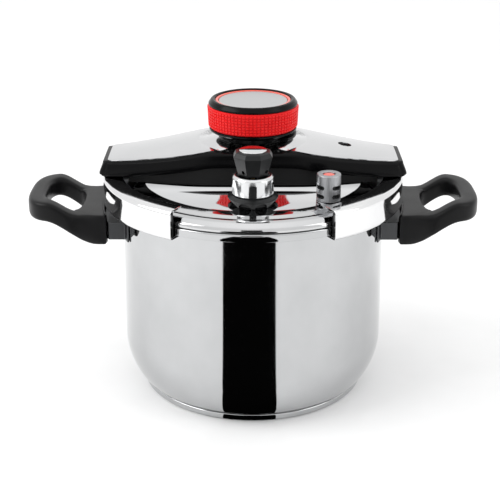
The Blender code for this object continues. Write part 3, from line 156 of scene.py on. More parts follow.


# %% [markdown]
# ## Mirror-polished stainless steel
# The pot, lid, jaws and cover plates are 18/10 stainless, drawn or pressed, then buffed on a
# wheel while they turn. Buffing leaves rings too fine to see, a few tenths of a millimetre apart,
# which stretch each highlight a little. They are drawn at 0.6 mm so that they still show, and
# faintly. A patchy change in roughness stands for the haze that handling leaves. The one steel
# gets a different colour on each piece, darkest on the pot and brightest on the jaws: painted
# shade and painted light that set how bright each piece looks.

# %% Polished steel


def rings_of(tree, centre):
    """Points as distance from a vertical axis and height, so that noise on them makes rings."""
    moved = add(tree, "Mapping", inputs={"Vector": place_of(tree), "Location": [-c for c in centre]})
    flat = add(tree, "VectorMath", {"operation": "MULTIPLY"}, {0: moved.outputs[0], 1: (1, 1, 0)})
    reach = add(tree, "VectorMath", {"operation": "LENGTH"}, {0: flat.outputs[0]})
    height = add(tree, "SeparateXYZ", inputs={0: moved.outputs[0]})
    rings = add(tree, "CombineXYZ", inputs={"X": reach.outputs["Value"], "Y": height.outputs["Z"]})
    return rings.outputs[0]


def link_finish(tree, shader, tint, spread, bump):
    """Link a colour, a roughness and a relief to the shader."""
    tree.links.new(tint, shader.inputs["Base Color"])
    tree.links.new(spread.outputs["Result"], shader.inputs["Roughness"])
    tree.links.new(bump.outputs[0], shader.inputs["Normal"])


def buffed_steel(name, colours, roughness, ring_height=0.010, centre=(0, 0, 0)):
    """Steel buffed on a wheel round a vertical axis."""
    material, tree, shader = start_material(name, colours[0], 1.0, roughness)
    rings = rings_of(tree, centre)
    ring_scale = 1 / (0.6 * MM)
    lines = add(
        tree, "TexNoise", inputs={"Vector": rings, "Scale": ring_scale, "Detail": 3.0, "Roughness": 0.7}
    )
    haze = add(
        tree, "TexNoise", inputs={"Vector": place_of(tree), "Scale": 1 / (38 * MM), "Detail": 4.0}
    )
    spread = add(
        tree, "MapRange",
        inputs={"Value": haze.outputs[0], 1: 0.35, 2: 0.7, 3: roughness * 0.75, 4: roughness * 1.35}
    )
    tint = ramp(tree, haze.outputs[0], [(0.3, colours[0]), (0.75, colours[1])])
    bump = add(
        tree, "Bump", inputs={"Height": lines.outputs[0], "Strength": ring_height, "Distance": 0.2 * MM}
    )
    link_finish(tree, shader, tint, spread, bump)
    return material


# Each piece's copy of the one steel has its own colour: darker on the pot and base, brighter on the lid,
# covers and jaws, as painted shade and painted light.
mirror_steel = buffed_steel("mirror_polished_stainless", ("#BABBBC", "#C2C3C4"), 0.05)
jaw_steel = buffed_steel("polished_jaw_stainless", ("#E6E6E7", "#EDEDED"), 0.07, 0.015)
cover_steel = buffed_steel("polished_cover_stainless", ("#D4D5D6", "#DADADB"), 0.09, 0.02)
lid_steel = buffed_steel("crowned_lid_stainless", ("#C8C9CA", "#CFCFD0"), 0.05, 0.02)
chrome = buffed_steel("satin_chrome", ("#D6D7D8", "#DEDEDE"), 0.2, 0.02)
selector_chrome = buffed_steel("dished_cap_chrome", ("#DEDFE0", "#E6E6E6"), 0.05, 0.02)
print("polished steel:", mirror_steel.name, jaw_steel.name, cover_steel.name, lid_steel.name)

# %% [markdown]
# ## How the pressed pieces bend their reflections
# On polished steel the reflections say more than the surface does. The lid's front should mirror
# the pale room and the red knob, while a flat mirror there would show the black bridge. So the
# mesh stays flat and its normals are tilted, by one more bump whose height is in metres. The tilt
# is 15 to 26 degrees over most of the lid's front. A real crown of two or three millimetres
# gives far less, so this is a stylised finish and no measure of the pressing. The covers, the
# jaws and the valve cap get a weaker tilt in the same way.

# %% Tilted normals


def bend_normals(material, height, share=1.0):
    """Tilt a material's normals as if its surface stood that much higher, in metres."""
    tree = material.node_tree
    shader = tree.nodes["Principled BSDF"]
    before = shader.inputs["Normal"].links[0].from_socket
    inputs = {"Height": height, "Strength": share, "Distance": 1.0, "Normal": before}
    bump = add(tree, "Bump", inputs=inputs)
    tree.links.new(bump.outputs[0], shader.inputs["Normal"])


def calculate(tree, operation, first, second=0.0):
    """One step of arithmetic on sockets or numbers."""
    return add(tree, "Math", {"operation": operation}, {0: first, 1: second}).outputs[0]


def reach_of(tree):
    """Distance from the cooker's axis."""
    flat = add(tree, "VectorMath", {"operation": "MULTIPLY"}, {0: place_of(tree), 1: (1, 1, 0)})
    return add(tree, "VectorMath", {"operation": "LENGTH"}, {0: flat.outputs[0]}).outputs["Value"]


# The slope is 0.49 at NEAR_BRIDGE and falls evenly to OUTER_SLOPE at CURVE_END, then stays. Next
# to the bridge it is steeper, by NEAR_GAIN. Outside the flat middle there is no tilt.
CURVE_END, OUTER_SLOPE, AXIS_SLOPE, EASING = 73 * MM, 0.27, 0.8455, -3.95
NEAR_BRIDGE, NEAR_GAIN, UNDER_BRIDGE = 45 * MM, -35.0, 18 * MM
tree = lid_steel.node_tree
axes = add(tree, "SeparateXYZ", inputs={0: place_of(tree)})
flat_edge = {"Value": reach_of(tree), 1: 92 * MM, 2: 93.5 * MM, 3: 1.0, 4: 0.0}
flat_part = add(tree, "MapRange", inputs=flat_edge)
away = calculate(tree, "MAXIMUM", calculate(tree, "ABSOLUTE", axes.outputs["Y"]), UNDER_BRIDGE)
curved = calculate(tree, "MINIMUM", away, CURVE_END)
bend = calculate(tree, "ADD", calculate(tree, "MULTIPLY", curved, EASING), AXIS_SLOPE)
straight = calculate(tree, "MULTIPLY", calculate(tree, "SUBTRACT", away, curved), OUTER_SLOPE)
near = calculate(tree, "MAXIMUM", calculate(tree, "SUBTRACT", NEAR_BRIDGE, away), 0.0)
steep = calculate(tree, "MULTIPLY", calculate(tree, "MULTIPLY", near, near), NEAR_GAIN)
fall = calculate(tree, "ADD", calculate(tree, "MULTIPLY", curved, bend), straight)
drop = calculate(tree, "MULTIPLY", calculate(tree, "ADD", fall, steep), -1.0)
bend_normals(lid_steel, drop, flat_part.outputs["Result"])

tree = cover_steel.node_tree
rise = calculate(tree, "MAXIMUM", calculate(tree, "SUBTRACT", 45 * MM, reach_of(tree)), 0.0)
bend_normals(cover_steel, calculate(tree, "MULTIPLY", rise, 0.36))

tree = jaw_steel.node_tree
bend_normals(jaw_steel, calculate(tree, "MULTIPLY", reach_of(tree), 0.06))

tree = selector_chrome.node_tree
axes = add(tree, "SeparateXYZ", inputs={0: place_of(tree)})
bend_normals(selector_chrome, calculate(tree, "MULTIPLY", axes.outputs["Y"], 0.1))
print("tilted normals: lid, covers, jaws and valve cap")

# %% [markdown]
# ## Satin stainless steel
# The knob's cap, the arms, the studs and the screws aren't buffed. Their turning and grinding
# marks stay, a quarter to half a millimetre apart, and make a broad soft highlight. They are drawn
# as rings round the cooker's axis. The brackets get the same rings on a steel colour darkened far
# below stainless: a painted shade for their place under the handles.

# %% Satin steel


def turned_steel(name, colour, lighter, roughness, pitch, centre=(0, 0, 0), depth=0.25):
    """Steel left with the rings of a lathe tool."""
    material, tree, shader = start_material(name, colour, 1.0, roughness)
    rings = rings_of(tree, centre)
    marks = add(
        tree, "TexNoise", inputs={"Vector": rings, "Scale": 1 / pitch, "Detail": 4.0, "Roughness": 0.65}
    )
    tint = ramp(tree, marks.outputs[0], [(0.3, colour), (0.8, lighter)])
    spread = add(
        tree, "MapRange", inputs={"Value": marks.outputs[0], 3: roughness * 0.8, 4: roughness * 1.25}
    )
    bump = add(
        tree, "Bump", inputs={"Height": marks.outputs[0], "Strength": depth, "Distance": 0.05 * MM}
    )
    link_finish(tree, shader, tint, spread, bump)
    return material


satin_steel = turned_steel("satin_stainless", "#B9BBBD", "#DADBDC", 0.34, 0.25 * MM)
cap_steel = turned_steel("spun_cap_stainless", "#C2C3C4", "#CDCDCE", 0.38, 0.5 * MM, depth=0.12)
# Painted shade: the brackets' steel colour is darkened far below stainless, for their place under the
# handles.
shade_darkened_bracket_steel = turned_steel("shade_darkened_bracket_stainless", "#47484A", "#5A5B5C", 0.36, 0.5 * MM)
brass = turned_steel("turned_brass", "#B99B5C", "#D2BC86", 0.3, 0.25 * MM)
aluminium = turned_steel("plain_aluminium", "#C6C8CA", "#DCDDDE", 0.45, 0.4 * MM)

# %% [markdown]
# ## Black mouldings
# The handles are phenolic resin, pressed hot in a steel mould that was spark-eroded to a fine
# grain: nearly black, with a soft sheen on the grain's tops. The bridge, knob and valve are glass-
# filled nylon, smoother and glossier. The grain is 0.35 to 0.5 mm, drawn coarser than the real one
# so that it still shows, and its depth and the roughness differ from piece to piece. Edges that
# hands rub are a shade lighter and shinier.

# %% Black mouldings


def moulded(name, colour, worn, roughness, grain, depth, **others):
    """A grained moulding with rubbed edges."""
    material, tree, shader = start_material(name, colour, 0.0, roughness, **others)
    point = place_of(tree)
    grains = add(
        tree, "TexNoise", inputs={"Vector": point, "Scale": 1 / grain, "Detail": 2.0, "Roughness": 0.5}
    )
    cloud = add(tree, "TexNoise", inputs={"Vector": point, "Scale": 1 / (22 * MM), "Detail": 5.0})
    edge = add(tree, "NewGeometry")
    rubbed = add(
        tree, "MapRange", inputs={"Value": edge.outputs["Pointiness"], 1: 0.53, 2: 0.62, 3: 0.0, 4: 1.0}
    )
    mottle = add(tree, "MapRange", inputs={"Value": cloud.outputs[0], 1: 0.35, 2: 0.75, 3: 0.0, 4: 0.35})
    share = add(
        tree, "Math", {"operation": "ADD", "use_clamp": True},
        {0: rubbed.outputs["Result"], 1: mottle.outputs["Result"]}
    )
    tint = ramp(tree, share.outputs[0], [(0.0, colour), (1.0, worn)])
    sheen = add(
        tree, "MapRange", inputs={"Value": share.outputs[0], 3: roughness * 1.1, 4: roughness * 0.72}
    )
    bump = add(
        tree, "Bump", inputs={"Height": grains.outputs[0], "Strength": depth, "Distance": 0.1 * MM}
    )
    link_finish(tree, shader, tint, sheen, bump)
    return material


phenolic = moulded(
    "black_phenolic", "#0D0D0E", "#1B1B1C", 0.33, 0.45 * MM, 0.22, IOR=1.6, Specular_IOR_Level=0.13
)
nylon = moulded(
    "black_nylon", "#060607", "#0E0E0F", 0.22, 0.4 * MM, 0.06, IOR=1.53, Specular_IOR_Level=0.1
)
valve_nylon = moulded(
    "valve_nylon", "#121314", "#2A2B2C", 0.3, 0.35 * MM, 0.12, IOR=1.53, Specular_IOR_Level=0.25
)
powder_coat = moulded(
    "black_powder_coat", "#0E0E0F", "#191A1A", 0.5, 0.5 * MM, 0.3, IOR=1.5, Specular_IOR_Level=0.3
)
# Black liner plastic: a pad inside the jaws and a guide inside the indicator, its black also standing in for
# the shade inside the jaws' C and behind the indicator's slots, a painted shade.
liner_and_shade_black = moulded(
    "liner_and_painted_shade_nylon", "#0A0A0B", "#141415", 0.55, 0.5 * MM, 0.2, IOR=1.53, Specular_IOR_Level=0.3
)

# %% [markdown]
# ## Red and grey mouldings
# The grip is a soft thermoplastic rubber moulded over the knob: a full red that stays matt, with
# a little light spreading under its surface. The thin ring round the cap and the indicator's pin
# are a hard, slightly orange plastic with a gloss. Gaskets are grey silicone.

# %% Rubber and coloured plastic
soft_red = moulded(
    "red_soft_grip", "#D00009", "#EE2120", 0.5, 0.5 * MM, 0.1, IOR=1.5, Specular_IOR_Level=0.25,
    Subsurface_Weight=0.12, Subsurface_Scale=1.2 * MM
)
orange_red = moulded(
    "orange_red_abs", "#E2452F", "#EE6A50", 0.22, 0.6 * MM, 0.03, IOR=1.54, Coat_Weight=0.4
)
silicone = moulded("grey_silicone", "#8D8E8B", "#A3A4A0", 0.62, 0.5 * MM, 0.2, IOR=1.43)
print("mouldings:", phenolic.name, nylon.name, soft_red.name, orange_red.name, silicone.name)

# %% [markdown]
# ## Brushed nickel on the indicator
# The pressure indicator is a turned sleeve with a matt nickel plate. It is darker than the steel
# round it, and brushed upwards, so its highlight is a soft vertical band.

# %% Brushed nickel
indicator_low, indicator_high = span("indicator_housing")
indicator_axis = (indicator_low + indicator_high) / 2
nickel, tree, shader = start_material("brushed_nickel", "#A6A7A9", 1.0, 0.42)
stroke = add(
    tree, "Mapping",
    inputs={"Vector": place_of(tree), "Scale": (1 / (0.3 * MM), 1 / (0.3 * MM), 1 / (9 * MM))}
)
hairs = add(tree, "TexNoise", inputs={"Vector": stroke.outputs[0], "Scale": 1.0, "Detail": 3.0})
tree.links.new(
    ramp(tree, hairs.outputs[0], [(0.3, "#97989B"), (0.75, "#B9BABC")]), shader.inputs["Base Color"]
)
relief = add(tree, "Bump", inputs={"Height": hairs.outputs[0], "Strength": 0.2, "Distance": 0.05 * MM})
tree.links.new(relief.outputs[0], shader.inputs["Normal"])

# %% [markdown]
# ## Small tools for shapes
# Most of the cooker was turned, spun or pressed on an axis, so one function turns a profile. A
# profile is a list of radius and height, and a third number on a corner rounds it by that radius.
# Real corners are never sharp, and the thin highlights along them are what make metal look solid.

# %% Rounded profiles


def rounded(points, closed=True, steps=5):
    """Replace each corner that has a radius by an arc."""
    count = len(points)
    result = []
    for i, point in enumerate(points):
        corner = Vector(point[:2])
        radius = point[2] if len(point) > 2 else 0
        inside = closed or 0 < i < count - 1
        if not radius or not inside:
            result.append((corner.x, corner.y))
            continue
        before = Vector(points[i - 1][:2]) - corner
        after = Vector(points[(i + 1) % count][:2]) - corner
        half = before.angle(after) / 2
        reach = min(radius / math.tan(half), before.length * 0.49, after.length * 0.49)
        radius = reach * math.tan(half)
        middle = corner + (
            before.normalized() + after.normalized()
        ).normalized() * radius / math.sin(half)
        start = corner + before.normalized() * reach - middle
        end = corner + after.normalized() * reach - middle
        turn = start.angle_signed(end)
        for step in range(steps + 1):
            angle = -turn * step / steps
            arm = Matrix.Rotation(angle, 2) @ start
            result.append((middle.x + arm.x, middle.y + arm.y))
    return result


def finish_piece(obj, body, material, replaced=(), smooth=38):
    """Give a new piece its material and body, and hide the working parts it stands for."""
    obj.data.materials.clear()
    obj.data.materials.append(material)
    if obj.type == "MESH":
        smooth_to(obj, smooth)
    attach(obj, body)
    if replaced:
        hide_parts(*replaced)
    return obj


def new_object(name, mesh):
    """Put a mesh in the scene."""
    obj = bpy.data.objects.new(name, mesh)
    bpy.context.scene.collection.objects.link(obj)
    return obj


def smooth_to(piece, degrees):
    """Smooth shading, with edges sharper than that angle kept."""
    piece.data.shade_smooth()
    piece.data.set_sharp_from_angle(angle=math.radians(degrees))


def finished_mesh(shape, name):
    """Turn all faces outwards and keep the shape as a mesh."""
    mesh = bpy.data.meshes.new(name)
    bmesh.ops.recalc_face_normals(shape, faces=shape.faces)
    shape.to_mesh(mesh)
    shape.free()
    return mesh


def tube_of(rings, shape):
    """Faces between closed rings of vertices, from each ring to the next and back to the first."""
    made = []
    for ring, following in zip(rings, rings[1:] + rings[:1]):
        for i in range(len(ring)):
            j = (i + 1) % len(ring)
            made.append(shape.faces.new((ring[i], ring[j], following[j], following[i])))
    return made


def apply_modifiers(piece):
    """Leave what the modifiers make in the mesh, and clear them."""
    bpy.context.view_layer.update()
    shaped = piece.evaluated_get(bpy.context.evaluated_depsgraph_get())
    piece.data = bpy.data.meshes.new_from_object(shaped)
    piece.modifiers.clear()


def give_wall(piece, thickness):
    """Thicken a sheet inwards."""
    wall = piece.modifiers.new("wall", "SOLIDIFY")
    wall.thickness, wall.offset = thickness, -1
    apply_modifiers(piece)


def soften(piece, width, segments, degrees):
    """Round the edges that are sharper than an angle."""
    bevel = piece.modifiers.new("soft edges", "BEVEL")
    bevel.width, bevel.segments = width, segments
    bevel.limit_method, bevel.angle_limit = "ANGLE", math.radians(degrees)


def turned(name, points, body, material, replaced=(), steps=128, centre=(0, 0), smooth=38):
    """Turn a rounded profile round a vertical axis."""
    closed = not (points[0][0] == 0 and points[-1][0] == 0)
    profile = rounded(points, closed)
    lathe = bmesh.new()
    rings = []
    for radius, height in profile:
        around = 1 if radius == 0 else steps
        ring = []
        for i in range(around):
            angle = 2 * math.pi * i / steps
            place = (centre[0] + radius * math.cos(angle), centre[1] + radius * math.sin(angle), height)
            ring.append(lathe.verts.new(place))
        rings.append(ring)
    pairs = list(zip(rings, rings[1:] + rings[:1])) if closed else list(zip(rings, rings[1:]))
    for ring, following in pairs:
        for i in range(steps):
            j = (i + 1) % steps
            corners = [ring[i % len(ring)], ring[j % len(ring)]]
            corners += [following[j % len(following)], following[i % len(following)]]
            corners = list(dict.fromkeys(corners))
            if len(corners) > 2:
                lathe.faces.new(corners)
    piece = new_object(name, finished_mesh(lathe, name))
    return finish_piece(piece, body, material, replaced, smooth)


def swept(name, section, start, end, steps, centre=(0, 0)):
    """Sweep a closed section of radius and height round the axis between two angles."""
    arc = bmesh.new()
    ring = []
    for radius, height in section:
        x, y = centre[0] + radius * math.cos(start), centre[1] + radius * math.sin(start)
        ring.append(arc.verts.new((x, y, height)))
    face = arc.faces.new(ring)
    bmesh.ops.spin(
        arc, geom=[face, *face.edges, *face.verts], cent=(centre[0], centre[1], 0), axis=(0, 0, 1),
        angle=end - start, steps=steps
    )
    return finished_mesh(arc, name)


def grid_sheet(name, rows):
    """A sheet through rows of points, facing up."""
    mesh = bpy.data.meshes.new(name)
    wide = len(rows[0])
    faces = []
    for i in range(len(rows) - 1):
        for j in range(wide - 1):
            a = i * wide + j
            faces.append((a, a + wide, a + wide + 1, a + 1))
    mesh.from_pydata([point for row in rows for point in row], [], faces)
    sheet = bmesh.new()
    sheet.from_mesh(mesh)
    bmesh.ops.recalc_face_normals(sheet, faces=sheet.faces)
    if sum(face.normal.z * face.calc_area() for face in sheet.faces) < 0:
        bmesh.ops.reverse_faces(sheet, faces=sheet.faces)
    sheet.to_mesh(mesh)
    sheet.free()
    return mesh


def drill(obj, mesh, place=(0, 0, 0), turn=None):
    """Cut a mesh out of a piece, and leave the cut in its mesh."""
    cutter = new_object("cutter", mesh)
    cutter.matrix_world = Matrix.Translation(Vector(place)) @ (turn or Matrix.Identity(4))
    boolean = obj.modifiers.new("cut", "BOOLEAN")
    boolean.object = cutter
    boolean.solver = "EXACT"
    bpy.context.view_layer.update()
    baked = bpy.data.meshes.new_from_object(obj.evaluated_get(bpy.context.evaluated_depsgraph_get()))
    obj.modifiers.remove(boolean)
    obj.data = baked
    bpy.data.objects.remove(cutter)


def rod(radius, low, high, sides=48, top_radius=None):
    """A round bar on the Z axis."""
    mesh = bpy.data.meshes.new("rod")
    bar = bmesh.new()
    bmesh.ops.create_cone(
        bar, cap_ends=True, segments=sides, radius1=radius,
        radius2=radius if top_radius is None else top_radius, depth=high - low
    )
    bmesh.ops.translate(bar, verts=bar.verts, vec=(0, 0, (low + high) / 2))
    bar.to_mesh(mesh)
    bar.free()
    return mesh


def block(low, high, rounding=0.0, axis=None):
    """A box between two corners, with the edges along one axis rounded if asked."""
    mesh = bpy.data.meshes.new("block")
    box = bmesh.new()
    low, high = Vector(low), Vector(high)
    bmesh.ops.create_cube(box, size=1)
    bmesh.ops.scale(box, verts=box.verts, vec=high - low)
    bmesh.ops.translate(box, verts=box.verts, vec=(low + high) / 2)
    if rounding:
        edges = [e for e in box.edges if abs((e.verts[0].co - e.verts[1].co).normalized()[axis]) > 0.9]
        bmesh.ops.bevel(
            box, geom=edges, offset=rounding, offset_type="OFFSET", segments=6, profile=0.5,
            affect="EDGES"
        )
    box.to_mesh(mesh)
    box.free()
    return mesh


print("shape tools ready")

# %% [markdown]
# ## The pot
# A disc of 0.8 mm steel is drawn into a deep cup, its lower corner is left wide and round so that
# food can be stirred out, and its mouth is rolled out to a flange that the jaws grip underneath.
# It was made by turning, and it is modelled that way: one closed profile for both faces.

# %% Pot
WALL = 0.8 * MM
wall_radius = 110.8 * MM
belly_top, belly_round = 45 * MM, 58 * MM
flange_sheet = 1.1 * MM


def belly(height):
    """Outer radius of the rounded lower wall."""
    return wall_radius - belly_round + math.sqrt(belly_round**2 - (belly_top - height) ** 2)


corner = pot_floor + 2.2 * MM
heights = [belly_top + (corner - belly_top) * i / 22 for i in range(23)]
outside = [(belly(z), z) for z in heights]
inside = [(r - WALL, z + WALL * (belly_top - z) / belly_top) for r, z in outside]
flange_low = rim_top - 6.4 * MM
pot_profile = [
    (0, pot_floor + WALL), (inside[-1][0] - 3.6 * MM, pot_floor + WALL, 3 * MM), *reversed(inside),
    (wall_radius - WALL, rim_top - 3 * MM, 3 * MM), (wall_radius + 1.6 * MM, rim_top, 1.5 * MM),
    (flange_radius, rim_top, 1.4 * MM), (flange_radius, flange_low, 0.5 * MM),
    (flange_radius - flange_sheet, flange_low, 0.5 * MM),
    (flange_radius - flange_sheet, rim_top - flange_sheet, 0.6 * MM),
    (wall_radius + 2.4 * MM, rim_top - flange_sheet, 2.5 * MM),
    (wall_radius, rim_top - flange_sheet - 2.8 * MM, 2.5 * MM), *outside,
    (outside[-1][0] - 3.4 * MM, pot_floor, 2 * MM), (0, pot_floor)
]
turned("pot_wall", pot_profile, "cooker", mirror_steel, ["pot_shell"], steps=192, smooth=50)
print(f"pot: {wall_radius * 2 / MM:.1f} mm across, {rim_top / MM:.0f} mm to the rim")

# %% [markdown]
# ## The capsule base
# A 5 mm aluminium plate spreads the heat, and a thin steel cup is pressed over it. Only the cup
# shows: a narrow bright band with a dark seam above it, and shallow rings underneath that keep
# the pot from rocking when the base warms.

# %% Base
band = 1.7 * MM
ring_steps = []
for reach in (78, 62, 46, 30):
    ring_steps += [
        (reach * MM, 0.0), (reach * MM - 0.6 * MM, 0.35 * MM, 0.3 * MM),
        (reach * MM - 2.4 * MM, 0.35 * MM, 0.3 * MM), (reach * MM - 3.0 * MM, 0.0)
    ]
capsule_profile = [
    (0, 0.8 * MM), (base_radius - 2.4 * MM, 0.8 * MM, 0.8 * MM),
    (base_radius - 0.8 * MM, 2.4 * MM, 0.8 * MM), (base_radius - 0.8 * MM, base_top),
    (base_radius - 0.3 * MM, base_top, 0.2 * MM), (base_radius, base_top - 0.4 * MM, 0.3 * MM),
    (base_radius, band, 1.2 * MM), (base_radius - band, 0.0, 1.2 * MM), *ring_steps, (0, 0.0)
]
turned("base_cup", capsule_profile, "cooker", mirror_steel, ["base_capsule"], steps=192, smooth=50)

# %% [markdown]
# ## The lid
# The lid is one pressing: a flat middle, a rounded shoulder, a crease that stiffens it, then a
# rolled rim that stands over the pot's flange. Three holes take the valve, the indicator and the
# lock pin. It is turned from one section, and its middle is left flat: see the cell on reflections.

# %% Lid
LID = 1.1 * MM
crease = lid_top - 2.3 * MM
DOME = 0.15 * MM


def lid_side(drop):
    """Half of the lid's section, from the middle to the rim, drop below its top."""
    return [
        (0, lid_top - drop), (40 * MM, lid_top - DOME * 0.2 - drop),
        (80 * MM, lid_top - DOME * 0.8 - drop), (93 * MM, lid_top - DOME - drop, 6 * MM),
        (101 * MM, lid_top - 0.9 * MM - drop, 6 * MM), (105.2 * MM, crease - drop, 0.8 * MM),
        (107.5 * MM, crease + 0.7 * MM - drop, 2 * MM), (110.5 * MM, crease + 1.0 * MM - drop, 4 * MM),
        (114.5 * MM, crease + 0.2 * MM - drop, 4 * MM),
        (lid_radius - 0.9 * MM - drop, crease - 2.4 * MM - drop / 3, 3 * MM),
        (lid_radius - drop, crease - 4.6 * MM, 1.5 * MM),
        (lid_radius - drop, rim_top + 0.9 * MM, 0.3 * MM)
    ]


lid = turned(
    "lid_pressing", lid_side(0) + lid_side(LID)[::-1], "cooker", lid_steel, ["lid_disc"], steps=192,
    smooth=50
)
seat_low, seat_high = span("valve_seat")
valve_y = (seat_low.y + seat_high.y) / 2
lock_low, lock_high = span("lock_pin")
lock_x = (lock_low.x + lock_high.x) / 2
for place, radius in (
    ((0, valve_y, 0), 8.3 * MM), ((indicator_axis.x, indicator_axis.y, 0), 6.6 * MM),
    ((lock_x, 0, 0), 5.4 * MM)
):
    drill(lid, rod(radius, lid_top - 6 * MM, lid_top + 4 * MM), place)
smooth_to(lid, 50)
print(f"lid: {lid_radius * 2 / MM:.1f} mm across with three holes")

# %% [markdown]
# ## The jaws
# Each jaw is a strip of 1.8 mm steel, rolled into a C that holds lid and pot together over a third
# of the rim. Its skirt is buffed bright, its ends are cut square and rounded over, and a black
# liner inside keeps steel off steel; its black also fills the C's inside as painted shade. It is a
# section swept round the pot's axis, then bevelled.

# %% Jaws
SHEET = 1.8 * MM
jaw_half = math.radians(60)
lip_low, lip_high = jaw_low.z, jaw_low.z + SHEET
flange_low_z = jaw_high.z - SHEET
bend = 3.4 * MM
jaw_section = rounded(
    [
        (jaw_radius - 16 * MM, jaw_high.z, 0.4 * MM), (jaw_radius, jaw_high.z, bend),
        (jaw_radius, lip_low, bend), (jaw_radius - 12.5 * MM, lip_low, 0.4 * MM),
        (jaw_radius - 12.5 * MM, lip_high, 0.4 * MM), (jaw_radius - SHEET, lip_high, 0.8 * MM),
        (jaw_radius - SHEET, flange_low_z, 0.8 * MM), (jaw_radius - 16 * MM, flange_low_z, 0.4 * MM)
    ]
)
for side, body in ((1, "right_jaw"), (-1, "left_jaw")):
    middle = 0 if side > 0 else math.pi
    mesh = swept(body + "_strip", jaw_section, middle - jaw_half, middle + jaw_half, 96)
    jaw = finish_piece(new_object(body + "_strip", mesh), body, jaw_steel, [body], 40)
    soften(jaw, 0.35 * MM, 3, 60)
    for row in ("front", "rear"):
        rivet = f"{body}_rivet_{row}"
        low, high = span(rivet)
        centre = ((low.x + high.x) / 2, (low.y + high.y) / 2)
        head = (high.x - low.x) / 2
        rivet_profile = [
            (0, high.z), (head * 0.55, high.z, 1.2 * MM), (head, jaw_high.z + 0.1 * MM, 0.2 * MM),
            (2.5 * MM, jaw_high.z + 0.1 * MM), (2.5 * MM, low.z), (0, low.z)
        ]
        turned(rivet + "_head", rivet_profile, body, satin_steel, [rivet], steps=40, centre=centre)
    # The black liner fills the jaw's inside: partly a real pad, partly painted shade.
    liner_low, liner_high = lip_high + 0.3 * MM, flange_low_z - 0.3 * MM
    liner_out = jaw_radius - SHEET - 0.3 * MM
    liner_section = rounded(
        [
            (liner_out - 3.4 * MM, liner_high, 1 * MM), (liner_out, liner_high, 0.5 * MM),
            (liner_out, liner_low, 0.5 * MM), (liner_out - 3.4 * MM, liner_low, 1 * MM)
        ]
    )
    tuck = math.radians(0.4)
    mesh = swept(body + "_lining", liner_section, middle - jaw_half + tuck, middle + jaw_half - tuck, 72)
    finish_piece(new_object(body + "_lining", mesh), body, liner_and_shade_black, [body + "_liner"], 40)
print(
    f"jaws: two strips of {math.degrees(2 * jaw_half):.0f} degrees, {jaw_radius * 2 / MM:.0f} mm across"
)

# %% [markdown]
# ## The bridge
# A black nylon shell spans the lid and hides the drive. It is low at its two ends, rises to the
# knob, and is crowned across. A moulding like this is a surface whose sections change all along
# it, so it is lofted: one section for each step along X, each with the same points, then given
# its wall thickness. A step round the knob lets the pointer pass.

# %% Bridge sections
HALF = 124.5 * MM
end_top = jaw_high.z + 13.2 * MM
hub_top = end_top + 12 * MM
SIDE = 12.8 * MM
CROWN = 3.0 * MM
HUB_STEP = 44 * MM


def ease(value, start, end):
    """A soft ramp from 0 to 1."""
    share = min(1.0, max(0.0, (value - start) / (end - start)))
    return share * share * (3 - 2 * share)


def half_width(x):
    """Half width of the bridge, eased where its sides turn parallel under the knob."""
    flare = (25.6 + 0.205 * (HALF - abs(x)) / MM) * MM
    soft = 2.5 * MM
    gap = flare - 41 * MM
    return 41 * MM + (gap - math.sqrt(gap * gap + soft * soft)) / 2


def edge_height(x):
    """Height of the shell's upper edge along the bridge."""
    share = max(0.0, 1 - abs(x) / HALF)
    rise = end_top + 21 * MM * share**1.65
    gap, soft = rise - hub_top, 1.2 * MM
    return hub_top + (gap - math.sqrt(gap * gap + soft * soft)) / 2


def crown_height(x, y):
    """Height of the crowned top, with the step round the knob."""
    share = min(1.0, abs(x) / HALF)
    across = min(1.0, abs(y) / half_width(x))
    step = 0.7 * MM * (1 - ease(math.hypot(x, y), HUB_STEP - 0.8 * MM, HUB_STEP + 0.8 * MM))
    return edge_height(x) + 4 * CROWN * share * (1 - share) * (1 - across**2) - step


def shell_row(x, squeeze=1.0, limit=None):
    """One section of the shell, from its front lower edge over the top to its rear one."""
    wide = half_width(x) * squeeze
    edge = edge_height(min(abs(x), HALF))
    low = edge - SIDE
    flank = [
        (wide - 2.2 * MM, low), (wide - 0.9 * MM, low + 0.4 * MM), (wide - 0.1 * MM, low + 1.6 * MM)
    ]
    flank += [(wide, low + 4 * MM), (wide - 0.2 * MM, low + 7 * MM), (wide - 0.6 * MM, edge - 3.0 * MM)]
    for i in range(1, 6):
        angle = math.pi / 2 * i / 6
        inward, up = 2.6 * MM * (1 - math.cos(angle)), 2.6 * MM * math.sin(angle)
        flank.append((wide - 0.7 * MM - inward, edge - 3.0 * MM + up))
    points = []
    for y, z in flank:
        points.append((x, -y, z))
    for i in range(9):
        y = (wide - 3.4 * MM) * (1 - i / 8)
        points.append((x, -y, crown_height(x, y)))
    row = points + [(px, -py, pz) for px, py, pz in reversed(points[:-1])]
    return [(px, py, min(pz, limit)) if limit is not None else (px, py, pz) for px, py, pz in row]


# %% Bridge shell
half_rows = [shell_row(HALF * i / 60) for i in range(59)]
end_low = edge_height(HALF) - SIDE
slant = 3.6 * MM
for i in range(9):
    share = i / 8
    out = HALF - 1.6 * MM + 1.6 * MM * math.sin(share * math.pi / 2)
    squeeze = 1 - 0.02 * share**2
    half_rows.append(
        shell_row(out, squeeze, end_top + 0.3 * MM - 2.4 * MM * (1 - math.cos(share * math.pi / 2)))
    )
for i in range(1, 7):
    share = i / 6
    top = end_top - 2.1 * MM - (end_top - 2.1 * MM - end_low - 1.5 * MM) * share
    half_rows.append(shell_row(HALF + slant * share, 0.98 - 0.04 * share, top))
CORNER = 4.5 * MM


